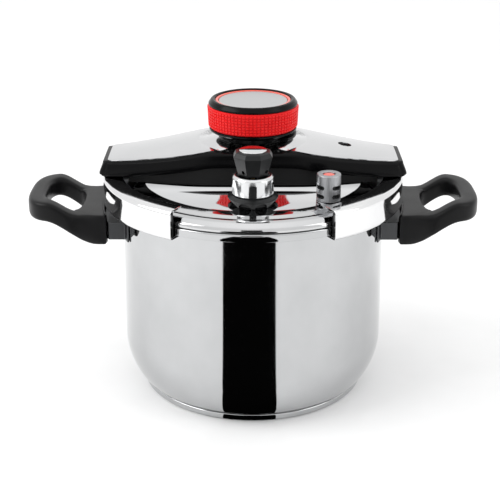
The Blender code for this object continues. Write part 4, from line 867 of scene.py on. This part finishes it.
def round_corner(point):
    """Keep a point of the shell's end inside its rounded corners."""
    x, y, z = point
    down = min(1.0, max(0.0, (end_top - 2.1 * MM - z) / (end_top - 3.6 * MM - end_low)))
    heel = min(1.0, max(0.0, (end_low + 4 * MM - z) / (4 * MM)))
    reach = HALF + slant * down - 3.2 * MM * (1 - math.sqrt(1 - heel**2))
    past = max(0.0, abs(y) - (half_width(HALF) * 0.945 - CORNER)) / CORNER
    return min(x, reach - CORNER * (1 - math.sqrt(max(0.0, 1 - min(1.0, past) ** 2)))), y, z


half_rows = [[round_corner(point) for point in row] for row in half_rows]
rows = [[(-x, y, z) for x, y, z in row] for row in reversed(half_rows[1:])] + half_rows
shell = new_object("bridge_shell", grid_sheet("bridge_shell", rows))
give_wall(shell, 2.2 * MM)
for place, radius in (((0, 0, 0), 10.5 * MM), ((lock_x, 0, 0), 3.8 * MM)):
    drill(shell, rod(radius, end_top - 6 * MM, hub_top + 12 * MM), place)
finish_piece(shell, "cooker", nylon, ["bridge_housing"], 45)
low, high = Vector(shell.bound_box[0]), Vector(shell.bound_box[6])
print(f"bridge: {(high.x - low.x) / MM:.0f} mm long, top at {high.z / MM:.1f} mm")

# %% [markdown]
# ## The cover plates
# Two thin plates of buffed steel lie on the shell and leave a black border round them. They run
# up to the knob and end there in two points. The right one has a round window over the lock pin,
# which shows whether there is pressure. Each is a loft on the same crown as the shell.

# %% Cover plates
TURN_IN, NEAR = 46 * MM, 19 * MM
MARGIN = 3.2 * MM
BEND = 3.2 * MM


def cover_width(x):
    """Half width of a plate, which rounds in towards the knob."""
    full = half_width(max(x, TURN_IN)) - MARGIN
    if x >= TURN_IN:
        return full
    share = (TURN_IN - x) / (TURN_IN - NEAR)
    return 26 * MM + (full - 26 * MM) * math.sqrt(max(0.0, 1 - share**2))


def cover_rows(side):
    """Sections of one plate, from the knob outwards, with softly rounded far corners."""
    end = HALF - MARGIN - 1.4 * MM
    stations = [NEAR + (TURN_IN - NEAR) * (1 - math.cos(math.pi / 2 * i / 14)) for i in range(14)]
    stations += [TURN_IN + (end - BEND - TURN_IN) * i / 30 for i in range(30)]
    stations += [end - BEND + BEND * math.sin(math.pi / 2 * i / 6) for i in range(7)]
    made = []
    for x in stations:
        past = max(0.0, x - (end - BEND)) / BEND
        wide = cover_width(x) - BEND * (1 - math.sqrt(max(0.0, 1 - past**2)))
        row = []
        for j in range(25):
            y = wide * (j / 12 - 1)
            roll = 0.35 * MM * max(0.0, (abs(y) - (wide - 1.4 * MM)) / (1.4 * MM)) ** 2
            lift = 1.7 * MM * (1 - ease(math.hypot(x, y), 24 * MM, HUB_STEP)) - roll
            row.append((side * x, y, crown_height(x, y) + 1.25 * MM + lift))
        made.append(row)
    return made


for side, node in ((1, "right_cover_plate"), (-1, "left_cover_plate")):
    name = node.replace("_plate", "_sheet")
    cover = new_object(name, grid_sheet(name, cover_rows(side)))
    give_wall(cover, 0.9 * MM)
    if side > 0:
        drill(cover, rod(5.6 * MM, end_top - 6 * MM, hub_top + 12 * MM), (lock_x, 0, 0))
    finish_piece(cover, "cooker", cover_steel, [node], 40)
print("cover plates: two, 0.9 mm thick")

# %% [markdown]
# ## The beam under the bridge
# Under the shell a folded steel channel takes the load from the two studs to the knob's axle. A
# strip of its black-coated side shows between the shell and the lid.

# %% Beam
beam_low, beam_high = span("bridge_beam")
beam_rows = []
for i in range(-30, 31):
    x = beam_high.x * i / 30
    wide = half_width(x) - 5.6 * MM
    top = edge_height(x) - SIDE + 3 * MM
    low = beam_low.z
    half = [(x, -wide, low), (x, -wide, low + 2 * MM), (x, -wide, top - 1.5 * MM)]
    half += [(x, -wide + 0.5 * MM, top - 0.4 * MM), (x, -wide + 1.5 * MM, top), (x, -wide * 0.5, top)]
    beam_rows.append(half + [(px, -py, pz) for px, py, pz in reversed(half)])
beam = new_object("beam_channel", grid_sheet("beam_channel", beam_rows))
give_wall(beam, 1.5 * MM)
for x, radius in ((0, 9.8 * MM), (lock_x, 3.4 * MM), (-52 * MM, 2.3 * MM), (52 * MM, 2.3 * MM)):
    drill(beam, rod(radius, beam_low.z, hub_top), (x, 0, 0))
finish_piece(beam, "cooker", powder_coat, ["bridge_beam"], 40)

# %% [markdown]
# ## The knob
# The knob is a stack: a black body, a red rubber band to hold, a black bezel, a thin orange-red
# ring and a satin cap. The band's grip is a field of small raised squares, 76 round and 7 high.
# They are cut into the mesh rather than faked, because they break up its outline and catch light.

# %% Knob body and bezel
knob_floor = span("knob_body")[0].z
grip_low, grip_high = knob_low.z, knob_high.z
core = 33 * MM
body_profile = [
    (9.3 * MM, knob_floor), (29 * MM, knob_floor, 0.6 * MM), (29 * MM, knob_floor + 4.1 * MM, 1 * MM),
    (34.9 * MM, knob_floor + 5.6 * MM, 0.6 * MM), (36.4 * MM, knob_floor + 6.8 * MM, 0.7 * MM),
    (36.4 * MM, grip_low - 0.3 * MM, 0.4 * MM), (core, grip_low - 0.3 * MM), (core, grip_high - 1 * MM),
    (13 * MM, grip_high - 1 * MM), (13 * MM, grip_low + 8 * MM), (9.3 * MM, grip_low + 8 * MM)
]
turned("knob_core", body_profile, "knob", nylon, ["knob_body"], steps=144)
bezel_low, bezel_high = span("knob_bezel")
ring_outer = span("knob_accent_ring")[1].x
seat = ring_outer + 0.25 * MM
bezel_profile = [
    (seat, bezel_low.z), (core, bezel_low.z), (core, grip_high + 0.3 * MM),
    (37.0 * MM, grip_high + 0.3 * MM, 0.3 * MM), (37.0 * MM, grip_high + 1.6 * MM, 0.8 * MM),
    (34.9 * MM, grip_high + 4.5 * MM, 1.0 * MM), (33.4 * MM, bezel_high.z, 0.8 * MM),
    (seat, bezel_high.z - 0.5 * MM, 0.3 * MM)
]
turned("knob_collar_ring", bezel_profile, "knob", nylon, ["knob_bezel"], steps=144)
ring_low, ring_high = span("knob_accent_ring")
cap_low, cap_high = span("knob_cap")
cap_radius = cap_high.x
ring_profile = [
    (cap_radius + 0.25 * MM, ring_low.z), (ring_outer, ring_low.z), (ring_outer, ring_high.z, 0.6 * MM),
    (cap_radius + 0.25 * MM, ring_high.z - 0.3 * MM, 0.4 * MM)
]
turned("knob_trim_ring", ring_profile, "knob", orange_red, ["knob_accent_ring"], steps=144)
cap_profile = [
    (0, cap_high.z - 0.3 * MM), (cap_radius - 6 * MM, cap_high.z - 0.25 * MM, 10 * MM),
    (cap_radius - 0.5 * MM, cap_high.z, 0.4 * MM), (cap_radius, cap_high.z - 0.5 * MM, 0.3 * MM),
    (cap_radius, cap_low.z), (0, cap_low.z)
]
turned("knob_cap_disc", cap_profile, "knob", cap_steel, ["knob_cap"], steps=144)

# %% Knob grip
COLUMNS, LEVELS = 76, 7


def grip_radius(height):
    """The band's outside, a little hollow at half height and narrower below."""
    share = (height - grip_low) / (grip_high - grip_low)
    return (36.6 + 0.75 * share + 0.15 * abs(2 * share - 1) ** 3 * (1 if share > 0.5 else -1.5)) * MM


def grip_mesh():
    """A band with a raised square in each cell of its field."""
    band_mesh = bmesh.new()
    field_low, field_high = grip_low + 1.0 * MM, grip_high - 1.0 * MM
    levels = [field_low + (field_high - field_low) * i / LEVELS for i in range(LEVELS + 1)]
    profile = [(core + 0.3 * MM, grip_low), (grip_radius(grip_low) - 1.2 * MM, grip_low)]
    profile += [(grip_radius(grip_low) - 0.4 * MM, grip_low + 0.3 * MM)]
    first = len(profile)
    profile += [(grip_radius(z), z) for z in levels]
    profile += [(grip_radius(grip_high) - 0.3 * MM, grip_high - 0.25 * MM)]
    profile += [(grip_radius(grip_high) - 1.0 * MM, grip_high), (core + 0.3 * MM, grip_high)]
    rings = []
    for radius, z in profile:
        ring = []
        for i in range(COLUMNS):
            angle = 2 * math.pi * i / COLUMNS
            ring.append(band_mesh.verts.new((radius * math.cos(angle), radius * math.sin(angle), z)))
        rings.append(ring)
    faces = tube_of(rings, band_mesh)
    cells = faces[first * COLUMNS : (first + LEVELS) * COLUMNS]
    bmesh.ops.recalc_face_normals(band_mesh, faces=band_mesh.faces)
    bmesh.ops.inset_individual(band_mesh, faces=cells, thickness=0.5 * MM, depth=0.0)
    bmesh.ops.inset_individual(band_mesh, faces=cells, thickness=0.2 * MM, depth=0.6 * MM)
    bmesh.ops.inset_individual(band_mesh, faces=cells, thickness=0.2 * MM, depth=0.08 * MM)
    mesh = bpy.data.meshes.new("knob_grip_band")
    band_mesh.to_mesh(mesh)
    band_mesh.free()
    return mesh


finish_piece(new_object("knob_grip_band", grip_mesh()), "knob", soft_red, ["knob_grip"], 25)
print(f"grip: {COLUMNS * LEVELS} raised squares on a band {(grip_high - grip_low) / MM:.1f} mm high")

# %% [markdown]
# ## The pointer
# A small faceted block under the knob shows where the jaws are. It is swept like the jaws, but
# with few steps, so its outside stays in flat facets as on the real moulding.

# %% Pointer
pointer_low, pointer_high = span("knob_pointer")
pointer_section = rounded(
    [
        (29.3 * MM, pointer_high.z), (36.4 * MM, pointer_high.z, 0.5 * MM),
        (36.4 * MM, pointer_low.z + 1.6 * MM, 0.5 * MM), (34.6 * MM, pointer_low.z, 0.5 * MM),
        (29.3 * MM, pointer_low.z)
    ],
    steps=2
)
aim = math.radians(-14)
fan = math.radians(24)
mesh = swept("knob_pointer_block", pointer_section, aim - fan, aim + fan, 5)
finish_piece(new_object("knob_pointer_block", mesh), "knob", nylon, ["knob_pointer"], 12)

# %% [markdown]
# ## The steam valve
# From the lid up: a scalloped black foot that lets steam out sideways, a chromed collar with a
# window at the front, and an eight-sided selector that narrows downwards. The selector is turned
# in eight steps and bevelled, which gives exactly its flats; the rest is turned and then drilled.

# %% Valve foot and collar
foot_low, foot_high = span("valve_foot")
collar_low, collar_high = span("valve_collar")
foot_out = (foot_high.x - foot_low.x) / 2
collar_out = (collar_high.x - collar_low.x) / 2
foot_top = collar_low.z - 0.3 * MM
collar_bore = collar_out - 2.0 * MM
sleeve = collar_bore - 0.3 * MM
foot_profile = [
    (sleeve - 1.2 * MM, foot_high.z), (sleeve, foot_high.z, 0.4 * MM), (sleeve, foot_top, 0.3 * MM),
    (foot_out - 3.0 * MM, foot_top, 0.7 * MM), (foot_out, foot_top - 1.5 * MM, 0.5 * MM),
    (foot_out, foot_top - 2.3 * MM, 0.5 * MM), (foot_out - 3.3 * MM, foot_low.z, 0.5 * MM),
    (10.9 * MM, foot_low.z), (10.9 * MM, foot_top - 2.4 * MM), (sleeve - 1.2 * MM, foot_top - 2.4 * MM)
]
foot = turned(
    "valve_foot_ring", foot_profile, "cooker", valve_nylon, ["valve_foot"], steps=128,
    centre=(0, valve_y)
)
for i in range(8):
    angle = 2 * math.pi * (i + 0.5) / 8 - math.pi / 2
    lay = Matrix.Rotation(angle, 4, "Z") @ Matrix.Rotation(math.radians(90), 4, "Y")
    drill(foot, rod(5.3 * MM, 13 * MM, 24 * MM, 40), (0, valve_y, foot_low.z - 0.4 * MM), lay)
soften(foot, 0.3 * MM, 2, 40)
smooth_to(foot, 35)

collar_profile = [
    (collar_bore, collar_high.z - 1.5 * MM, 0.4 * MM), (12.6 * MM, collar_high.z, 0.3 * MM),
    (collar_out - 1.8 * MM, collar_high.z, 1.2 * MM), (collar_out, collar_high.z - 1.8 * MM, 1.2 * MM),
    (collar_out, collar_low.z + 0.8 * MM, 0.6 * MM), (collar_out - 0.8 * MM, collar_low.z, 0.4 * MM),
    (collar_bore, collar_low.z, 0.3 * MM)
]
collar = turned(
    "valve_collar_shell", collar_profile, "cooker", chrome, ["valve_collar"], steps=128,
    centre=(0, valve_y)
)
for degrees, half, low, high in ((-90, 3.0, -1.0, 10.4), (-20, 1.7, 3.4, 11.0)):
    window = block(
        (9 * MM, -half * MM, collar_low.z + low * MM), (22 * MM, half * MM, collar_low.z + high * MM),
        0.7 * MM, 0
    )
    drill(collar, window, (0, valve_y, 0), Matrix.Rotation(math.radians(degrees), 4, "Z"))
smooth_to(collar, 35)

# %% Valve selector
selector_low, selector_high = span("valve_selector")
selector_flat = (selector_high.y - selector_low.y) / 2
widest = selector_flat / math.cos(math.pi / 8)
top = selector_high.z
selector_profile = [
    (0, top), (widest - 3.6 * MM, top), (widest - 2.0 * MM, top - 0.7 * MM), (widest, top - 4.0 * MM),
    (12.2 * MM, selector_low.z), (7.2 * MM, selector_low.z), (7.2 * MM, top - 5 * MM), (0, top - 5 * MM)
]
selector = turned(
    "valve_selector_knob", selector_profile, "valve_selector", valve_nylon, ["valve_selector"], steps=8,
    centre=(0, 0), smooth=5
)
selector.data.transform(Matrix.Rotation(math.pi / 8, 4, "Z"))
selector.data.transform(Matrix.Translation((0, valve_y, 0)))
for degrees in (-128, -32):
    angle = math.radians(degrees)
    spot = (12 * MM * math.cos(angle), valve_y + 12 * MM * math.sin(angle), selector_low.z + 3.6 * MM)
    tilt = Matrix.Rotation(angle, 4, "Z") @ Matrix.Rotation(math.radians(90), 4, "Y")
    drill(selector, rod(1.6 * MM, -6 * MM, 6 * MM, 28), spot, tilt)
soften(selector, 0.55 * MM, 3, 18)
finish_piece(selector, "valve_selector", valve_nylon, ["valve_selector"], 14)
cap_low, cap_high = span("valve_cap")
valve_cap = 10.7 * MM
valve_cap_profile = [
    (0, cap_high.z), (valve_cap * 0.6, cap_high.z - 0.12 * MM, 12 * MM),
    (valve_cap, cap_high.z - 0.5 * MM, 0.3 * MM), (valve_cap, cap_low.z), (0, cap_low.z)
]
turned(
    "valve_cap_disc", valve_cap_profile, "valve_selector", selector_chrome, ["valve_cap"], steps=96,
    centre=(0, valve_y)
)
print(f"valve: foot {foot_out * 2 / MM:.1f} mm, collar {collar_out * 2 / MM:.1f} mm across")

# %% [markdown]
# ## The pressure indicator
# A plated sleeve with two rows of slots that vent it, and a red pin that rises in its mouth as
# pressure builds. The slots have round ends, because they were milled with a small cutter.

# %% Indicator
sleeve_out = (indicator_high.x - indicator_low.x) / 2
sleeve_low = lid_top + 0.3 * MM
pin_low, pin_high = span("indicator_pin")
mouth = 5.0 * MM
hollow = 6.8 * MM
centre = (indicator_axis.x, indicator_axis.y)
sleeve_profile = [
    (mouth, indicator_high.z - 0.5 * MM, 0.3 * MM), (mouth + 0.8 * MM, indicator_high.z, 0.3 * MM),
    (sleeve_out, indicator_high.z, 0.9 * MM), (sleeve_out, sleeve_low, 0.3 * MM), (6.1 * MM, sleeve_low),
    (6.1 * MM, indicator_low.z), (mouth, indicator_low.z), (mouth, sleeve_low + 1.5 * MM),
    (hollow, sleeve_low + 2 * MM), (hollow, indicator_high.z - 3 * MM),
    (mouth, indicator_high.z - 2.4 * MM)
]
indicator = turned(
    "indicator_sleeve", sleeve_profile, "cooker", nickel, ["indicator_housing"], steps=96, centre=centre
)
for row in (0.12, 0.46):
    height = sleeve_low + 21.5 * MM * row
    for i in range(4):
        slot_mesh = block(
            (5 * MM, -4.2 * MM, height), (13 * MM, 4.2 * MM, height + 3.4 * MM), 1.6 * MM, 0
        )
        drill(indicator, slot_mesh, (*centre, 0), Matrix.Rotation(math.radians(-50 + 90 * i), 4, "Z"))
smooth_to(indicator, 35)
guide_profile = [
    (5.6 * MM, sleeve_low + 2.4 * MM), (6.6 * MM, sleeve_low + 2.4 * MM),
    (6.6 * MM, indicator_high.z - 3.4 * MM), (5.6 * MM, indicator_high.z - 3.4 * MM)
]
# The black guide sits behind the slots so that they read dark: a painted shade.
turned("indicator_guide", guide_profile, "cooker", liner_and_shade_black, (), steps=64, centre=centre)
pin_radius = 4.6 * MM
pin_profile = [
    (0, pin_high.z), (pin_radius * 0.7, pin_high.z - 0.1 * MM, 6 * MM),
    (pin_radius, pin_high.z - 0.6 * MM, 0.4 * MM), (pin_radius, pin_high.z - 5.6 * MM),
    (pin_radius - 1.4 * MM, pin_high.z - 6.6 * MM), (pin_radius - 1.4 * MM, pin_low.z + 1.5 * MM),
    (5.4 * MM, pin_low.z + 1.5 * MM, 0.3 * MM), (5.4 * MM, pin_low.z, 0.3 * MM), (0, pin_low.z)
]
turned(
    "indicator_pin_red", pin_profile, "indicator_pin", orange_red, ["indicator_pin"], steps=64,
    centre=centre
)
print(f"indicator: {sleeve_out * 2 / MM:.1f} mm sleeve with eight slots")

# %% [markdown]
# ## The side handles
# Each handle is a phenolic loop for four fingers. It leaves the bracket as a square block, swings
# up and thins towards its far end. There is no single section to sweep, so the loop is lofted:
# each station has a point on the outline and one on the finger hole, and a rounded section is
# drawn between them. The left handle is the mirror image.

# %% Handle outlines
HOLE_START, HOLE_END, HOLE_HALF = 144 * MM, 174 * MM, 28 * MM
INNER, GRIP_HALF, REACH = 126 * MM, 41 * MM, 188.7 * MM


def handle_levels(x):
    """Lower and upper height of the loop at a distance from the pot's axis."""
    top = 160 * MM + 11 * MM * ease(x, HOLE_START, HOLE_END - 4 * MM)
    low = 134.5 * MM + 20 * MM * ease(x, 131 * MM, 172 * MM)
    return low, top


def outer_point(angle):
    """The loop's outside in plan. Zero is the far tip and 180 degrees faces the pot."""
    c, s = math.cos(angle), math.sin(angle)
    sign = 1 if s > 0 else -1
    middle = (HOLE_START + HOLE_END) / 2
    if c > -0.25:
        power = 2 / 3.0
        x = middle + (REACH - middle) * abs(c) ** power * (1 if c > 0 else -1)
        return x, (GRIP_HALF + 2 * MM) * abs(s) ** power * sign
    share = min(1.0, (-c - 0.25) / 0.75)
    turn_share = 0.55
    if share < turn_share:
        start = middle - 14 * MM
        end = math.sqrt(INNER**2 - GRIP_HALF**2) + 1.2 * MM
        y = GRIP_HALF + 1 * MM * (1 - share / turn_share)
        return start + (end - start) * share / turn_share, y * sign
    y = (GRIP_HALF - 1.2 * MM) * (1 - share) / (1 - turn_share)
    return math.sqrt(INNER**2 - y**2), y * sign


def hole_point(angle):
    """The finger hole's outline in plan."""
    middle, half = (HOLE_START + HOLE_END) / 2, (HOLE_END - HOLE_START) / 2
    c, s = math.cos(angle), math.sin(angle)
    power = 2 / 3.2
    x = middle + half * abs(c) ** power * (1 if c > 0 else -1)
    return x, HOLE_HALF * abs(s) ** power * (1 if s > 0 else -1)


# %% Handle loft
STATIONS, AROUND = 112, 36


def handle_mesh(side):
    """The loop for one side of the cooker."""
    loop = bmesh.new()
    rings = []
    for i in range(STATIONS):
        angle = 2 * math.pi * (i + 0.5) / STATIONS
        outer, hole = Vector(outer_point(angle)), Vector(hole_point(angle))
        square = ease(-outer.x, -135 * MM, -122 * MM)
        power = 2 / (4.6 + 8 * square)
        ring = []
        for j in range(AROUND):
            turn = 2 * math.pi * (j + 0.5) / AROUND
            c, s = math.cos(turn), math.sin(turn)
            across = abs(c) ** power * (1 if c > 0 else -1)
            lift = abs(s) ** power * (1 if s > 0 else -1)
            spot = hole + (outer - hole) * (1 + across) / 2
            low, high = handle_levels(spot.x)
            height = (low + high) / 2 + (high - low) / 2 * lift
            ring.append(loop.verts.new((side * spot.x, spot.y, height)))
        rings.append(ring)
    tube_of(rings, loop)
    return finished_mesh(loop, "handle_loop")


for side, word in ((1, "right"), (-1, "left")):
    handle = new_object(f"{word}_handle_loop", handle_mesh(side))
    screw_low, screw_high = span(f"{word}_handle_screw")
    screw_x = (screw_low.x + screw_high.x) / 2
    tongue = sorted((side * (INNER - 15 * MM), side * (INNER + 13.3 * MM)))
    drill(handle, block((tongue[0], -18.3 * MM, 143.2 * MM), (tongue[1], 18.3 * MM, 147.8 * MM)))
    drill(handle, rod(4.3 * MM, 130 * MM, 137.6 * MM), (screw_x, 0, 0))
    drill(handle, rod(2.3 * MM, 130 * MM, 144 * MM), (screw_x, 0, 0))
    finish_piece(handle, "cooker", phenolic, [f"{word}_handle"], 50)
    head = (screw_high.x - screw_low.x) / 2
    screw_profile = [
        (0, screw_high.z), (1.9 * MM, screw_high.z, 0.3 * MM), (1.9 * MM, 137.0 * MM),
        (head, 137.0 * MM, 0.2 * MM), (head, screw_low.z + 0.6 * MM, 0.5 * MM),
        (head * 0.5, screw_low.z, 0.8 * MM), (0, screw_low.z)
    ]
    name = f"{word}_handle_screw_head"
    screw = turned(
        name, screw_profile, "cooker", satin_steel, [f"{word}_handle_screw"], 40, (screw_x, 0)
    )
    for degrees in (0, 90):
        slot_mesh = block(
            (-2.4 * MM, -0.5 * MM, screw_low.z - 1 * MM), (2.4 * MM, 0.5 * MM, screw_low.z + 1 * MM)
        )
        drill(screw, slot_mesh, (screw_x, 0, 0), Matrix.Rotation(math.radians(degrees), 4, "Z"))
print(f"handles: two loops of {STATIONS} x {AROUND} points, with a cross-slotted screw each")

# %% [markdown]
# ## The brackets
# A folded channel of 1.5 mm steel is spot-welded to the wall by two tabs and carries each handle.
# Its outline in plan follows the pot on one side and the handle on the other, so it is drawn as
# that outline, raised, hollowed out and then bevelled.

# %% Brackets
BRACKET_HALF, TAB = 38 * MM, 6.5 * MM


def on_circle(radius, y):
    """A point at that distance from the pot's axis."""
    return (math.sqrt(radius**2 - y**2), y)


for side, word in ((1, "right"), (-1, "left")):
    low, high = span(f"{word}_bracket")
    wall_face, front = 111.1 * MM, INNER - 0.3 * MM
    steps = 18
    outline = [on_circle(wall_face, -BRACKET_HALF - TAB + TAB * i / 3) for i in range(3)]
    outline += [on_circle(wall_face, -BRACKET_HALF + 2 * BRACKET_HALF * i / steps) for i in range(steps + 1)]
    outline += [on_circle(wall_face, BRACKET_HALF + TAB * (i + 1) / 3) for i in range(3)]
    outline += [
        on_circle(wall_face + 1.5 * MM, BRACKET_HALF + TAB),
        on_circle(wall_face + 1.5 * MM, BRACKET_HALF)
    ]
    outline += [on_circle(front, BRACKET_HALF - 2 * BRACKET_HALF * i / steps) for i in range(steps + 1)]
    outline += [
        on_circle(wall_face + 1.5 * MM, -BRACKET_HALF),
        on_circle(wall_face + 1.5 * MM, -BRACKET_HALF - TAB)
    ]
    fold = bmesh.new()
    face = fold.faces.new([fold.verts.new((side * x, y, low.z)) for x, y in outline])
    raised = bmesh.ops.extrude_face_region(fold, geom=[face])["geom"]
    tops = [item for item in raised if isinstance(item, bmesh.types.BMVert)]
    bmesh.ops.translate(fold, verts=tops, vec=(0, 0, high.z - low.z))
    bracket = new_object(f"{word}_bracket_fold", finished_mesh(fold, "bracket"))
    ends = sorted((side * 90 * MM, side * (front - 7.5 * MM)))
    hollow_box = block((ends[0], -30.5 * MM, low.z + 1.5 * MM), (ends[1], 30.5 * MM, high.z - 1.5 * MM))
    drill(bracket, hollow_box)
    soften(bracket, 0.6 * MM, 3, 50)
    # The bracket takes the darkened steel, a painted shade.
    finish_piece(bracket, "cooker", shade_darkened_bracket_steel, [f"{word}_bracket"], 40)
    middle = (low.z + high.z) / 2
    ends = sorted((side * (front - 4 * MM), side * (INNER + 13 * MM)))
    tongue_mesh = block((ends[0], -18 * MM, middle - 2 * MM), (ends[1], 18 * MM, middle + 2 * MM))
    tongue = new_object(f"{word}_bracket_tongue", tongue_mesh)
    drill(tongue, rod(2.3 * MM, middle - 8 * MM, middle + 1.2 * MM), (side * (INNER + 6.5 * MM), 0, 0))
    finish_piece(tongue, "cooker", satin_steel, (), 40)
print("brackets: two folded channels")

# %% [markdown]
# ## What stays as it is
# The drive inside the bridge, the seals and the fixings have the right shape in the working model
# already. They only need their finish: satin steel for the drive, brass for the valve's seat and
# needle, silicone for the seals and
# plain aluminium for the core of the base.

# %% Finishes for the kept parts
kept = {
    satin_steel: [
        "cam_disc", "knob_shaft", "knob_axle", "knob_nut", "left_jaw_arm", "right_jaw_arm",
        "left_drive_pin", "right_drive_pin", "left_guide_stud", "right_guide_stud", "left_bridge_screw",
        "right_bridge_screw", "valve_nut", "indicator_nut", "lock_pin"
    ],
    brass: ["valve_seat", "valve_needle"],
    silicone: ["sealing_gasket", "valve_gasket", "indicator_gasket", "lock_pin_sleeve"],
    aluminium: ["base_core_disc"]
}
for material, nodes in kept.items():
    for node in nodes:
        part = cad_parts[node]
        if part.data.materials:
            part.material_slots[0].material = material
        else:
            part.data.materials.append(material)
shown = [name for name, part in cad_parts.items() if not part.hide_render]
print(f"kept {len(shown)} working parts:", ", ".join(sorted(shown)))

# %% [markdown]
# ## The valve spring
# A coil of 0.7 mm steel wire sits over the needle's stem and sets the pressure that lifts it. The
# wire is a tube along a helix, with a ring of eight points at each step. The coil shortens as the
# needle rises, and a ride on one body can't show that. The piece rides with the cooker and keeps a
# mesh of its own.

# %% Valve spring
coil_low, coil_high = span("valve_spring")
COIL_TURNS, COIL_STEPS, WIRE = 6, 24, 0.35 * MM
count = COIL_TURNS * COIL_STEPS
points, faces = [], []
for i in range(count + 1):
    angle = 2 * math.pi * i / COIL_STEPS
    outward = Vector((math.cos(angle), math.sin(angle), 0))
    height = coil_low.z + WIRE + (coil_high.z - coil_low.z - 2 * WIRE) * i / count
    centre = outward * 3.8 * MM + Vector((0, valve_y, height))
    for j in range(8):
        turn = 2 * math.pi * j / 8
        points.append(centre + (outward * math.cos(turn) + Vector((0, 0, math.sin(turn)))) * WIRE)
    if i:
        a, b = 8 * i - 8, 8 * i
        faces += [(a + j, b + j, b + (j + 1) % 8, a + (j + 1) % 8) for j in range(8)]
faces += [tuple(range(8)), tuple(range(8 * count + 7, 8 * count - 1, -1))]
coil_mesh = bpy.data.meshes.new("coil")
coil_mesh.from_pydata(points, [], faces)
coil_shape = bmesh.new()
coil_shape.from_mesh(coil_mesh)
coil = new_object("valve_coil_spring", finished_mesh(coil_shape, "valve_coil_spring"))
finish_piece(coil, "cooker", satin_steel, ["valve_spring"])
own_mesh(coil)

# %% [markdown]
# ## Table and light
# Polished steel shows the room more than itself, so the light is built from what it should
# mirror: a white table, a pale surround, one broad soft box above and to the left, and a black
# card laid in front. The card gives the pot its dark stripe, the usual way to show that a wall
# is round and bright. A second, upright card does the same for the lid's rim and the jaws. Both
# only show in reflections.

# %% Table
table_material, tree, shader = start_material("matt_white_table", "#F4F4F4", 0.0, 0.6)
speck = add(tree, "TexNoise", inputs={"Vector": place_of(tree), "Scale": 1 / (60 * MM), "Detail": 3.0})
tree.links.new(
    ramp(tree, speck.outputs[0], [(0.3, "#F3F3F3"), (0.7, "#F6F6F6")]), shader.inputs["Base Color"]
)
table_mesh = bpy.data.meshes.new("table")
table_mesh.from_pydata([(-9, -6, 0), (9, -6, 0), (9, 12, 0), (-9, 12, 0)], [], [(0, 1, 2, 3)])
table = new_object("table", table_mesh)
table.data.materials.append(table_material)
table.location.z = -0.05 * MM

card_material, tree, shader = start_material(
    "black_flock_card", "#050505", 0.0, 0.9, Specular_IOR_Level=0.0
)
fibre = add(tree, "TexNoise", inputs={"Vector": place_of(tree), "Scale": 1 / (2 * MM)})
tree.links.new(
    ramp(tree, fibre.outputs[0], [(0.3, "#040404"), (0.7, "#070707")]), shader.inputs["Base Color"]
)

# Half widths of the card in mm, against the distance in front of the pot's axis.
left = [(17, 79), (27, 96), (39, 130), (62, 182), (185, 439), (205, 531), (225, 900)]
right = [(13, 80), (21.5, 99), (31, 134), (49, 190), (142, 456), (157, 549), (172, 900)]
rows = [[(-x * MM, -y * MM, MM) for x, y in left], [(x * MM, -y * MM, MM) for x, y in right]]
card_mesh = bpy.data.meshes.new("stripe_card")
count = len(left)
card_mesh.from_pydata(
    rows[0] + rows[1], [], [(i, i + 1, count + i + 1, count + i) for i in range(count - 1)]
)
screen_mesh = bpy.data.meshes.new("stripe_screen")
corners = [(-0.2, -1.3, 0.0), (0.16, -1.3, 0.0), (0.16, -1.3, 0.75), (-0.2, -1.3, 0.75)]
screen_mesh.from_pydata(corners, [], [(0, 1, 2, 3)])
for name, mesh in (("stripe_card", card_mesh), ("stripe_screen", screen_mesh)):
    card = new_object(name, mesh)
    card.data.materials.append(card_material)
    card.visible_camera = card.visible_diffuse = card.visible_shadow = False

# %% Light
world = bpy.data.worlds.new("studio")
world.use_nodes = True
tree = world.node_tree
background = tree.nodes["Background"]
look = add(tree, "TexCoord")
height = add(tree, "SeparateXYZ", inputs={0: look.outputs["Generated"]})
greys = [(0.0, "#D2D2D2"), (0.3, "#CDCDCD"), (0.65, "#CDCDCD"), (0.85, "#DCDCDC"), (1.0, "#E4E4E4")]
sky = ramp(tree, height.outputs["Z"], greys)
tree.links.new(sky, background.inputs["Color"])
background.inputs["Strength"].default_value = 1.6
bpy.context.scene.world = world


def soft_box(name, place, target, width, height, watts):
    """A rectangular lamp that faces a point."""
    data = bpy.data.lights.new(name, "AREA")
    data.shape = "RECTANGLE"
    data.size, data.size_y = width, height
    data.energy = watts
    lamp = bpy.data.objects.new(name, data)
    bpy.context.scene.collection.objects.link(lamp)
    lamp.location = place
    lamp.rotation_euler = (Vector(target) - Vector(place)).to_track_quat("-Z", "Y").to_euler()


soft_box("main_box", (-1.25, -0.35, 1.15), (0, 0, 0.15), 1.1, 0.9, 12)
soft_box("fill_box", (1.2, -0.5, 0.9), (0, 0, 0.15), 0.7, 1.2, 4)

# %% [markdown]
# ## Camera
# The cooker is seen from the front and a little above, from about a metre, so that the round
# edges open into shallow ovals. The lens is a short telephoto, as for product work, and it is
# shifted down a little, as a view camera's is, so that the pot's walls stay nearly upright.

# %% Camera
camera_data = bpy.data.cameras.new("camera")
camera_data.sensor_width = 36
camera_data.lens = 88.0
camera_data.shift_y = -0.1
camera_data.clip_start = 0.05
camera = bpy.data.objects.new("camera", camera_data)
bpy.context.scene.collection.objects.link(camera)
camera.location = (0, -0.986, 0.4994)
camera.rotation_euler = (math.radians(90 - 19.0), 0, math.radians(0.146))
bpy.context.scene.camera = camera
bpy.context.scene.view_settings.view_transform = "Standard"

# %% Size of the working model
print("working box", [[round(v / MM, 1) for v in c] for c in cad_box])
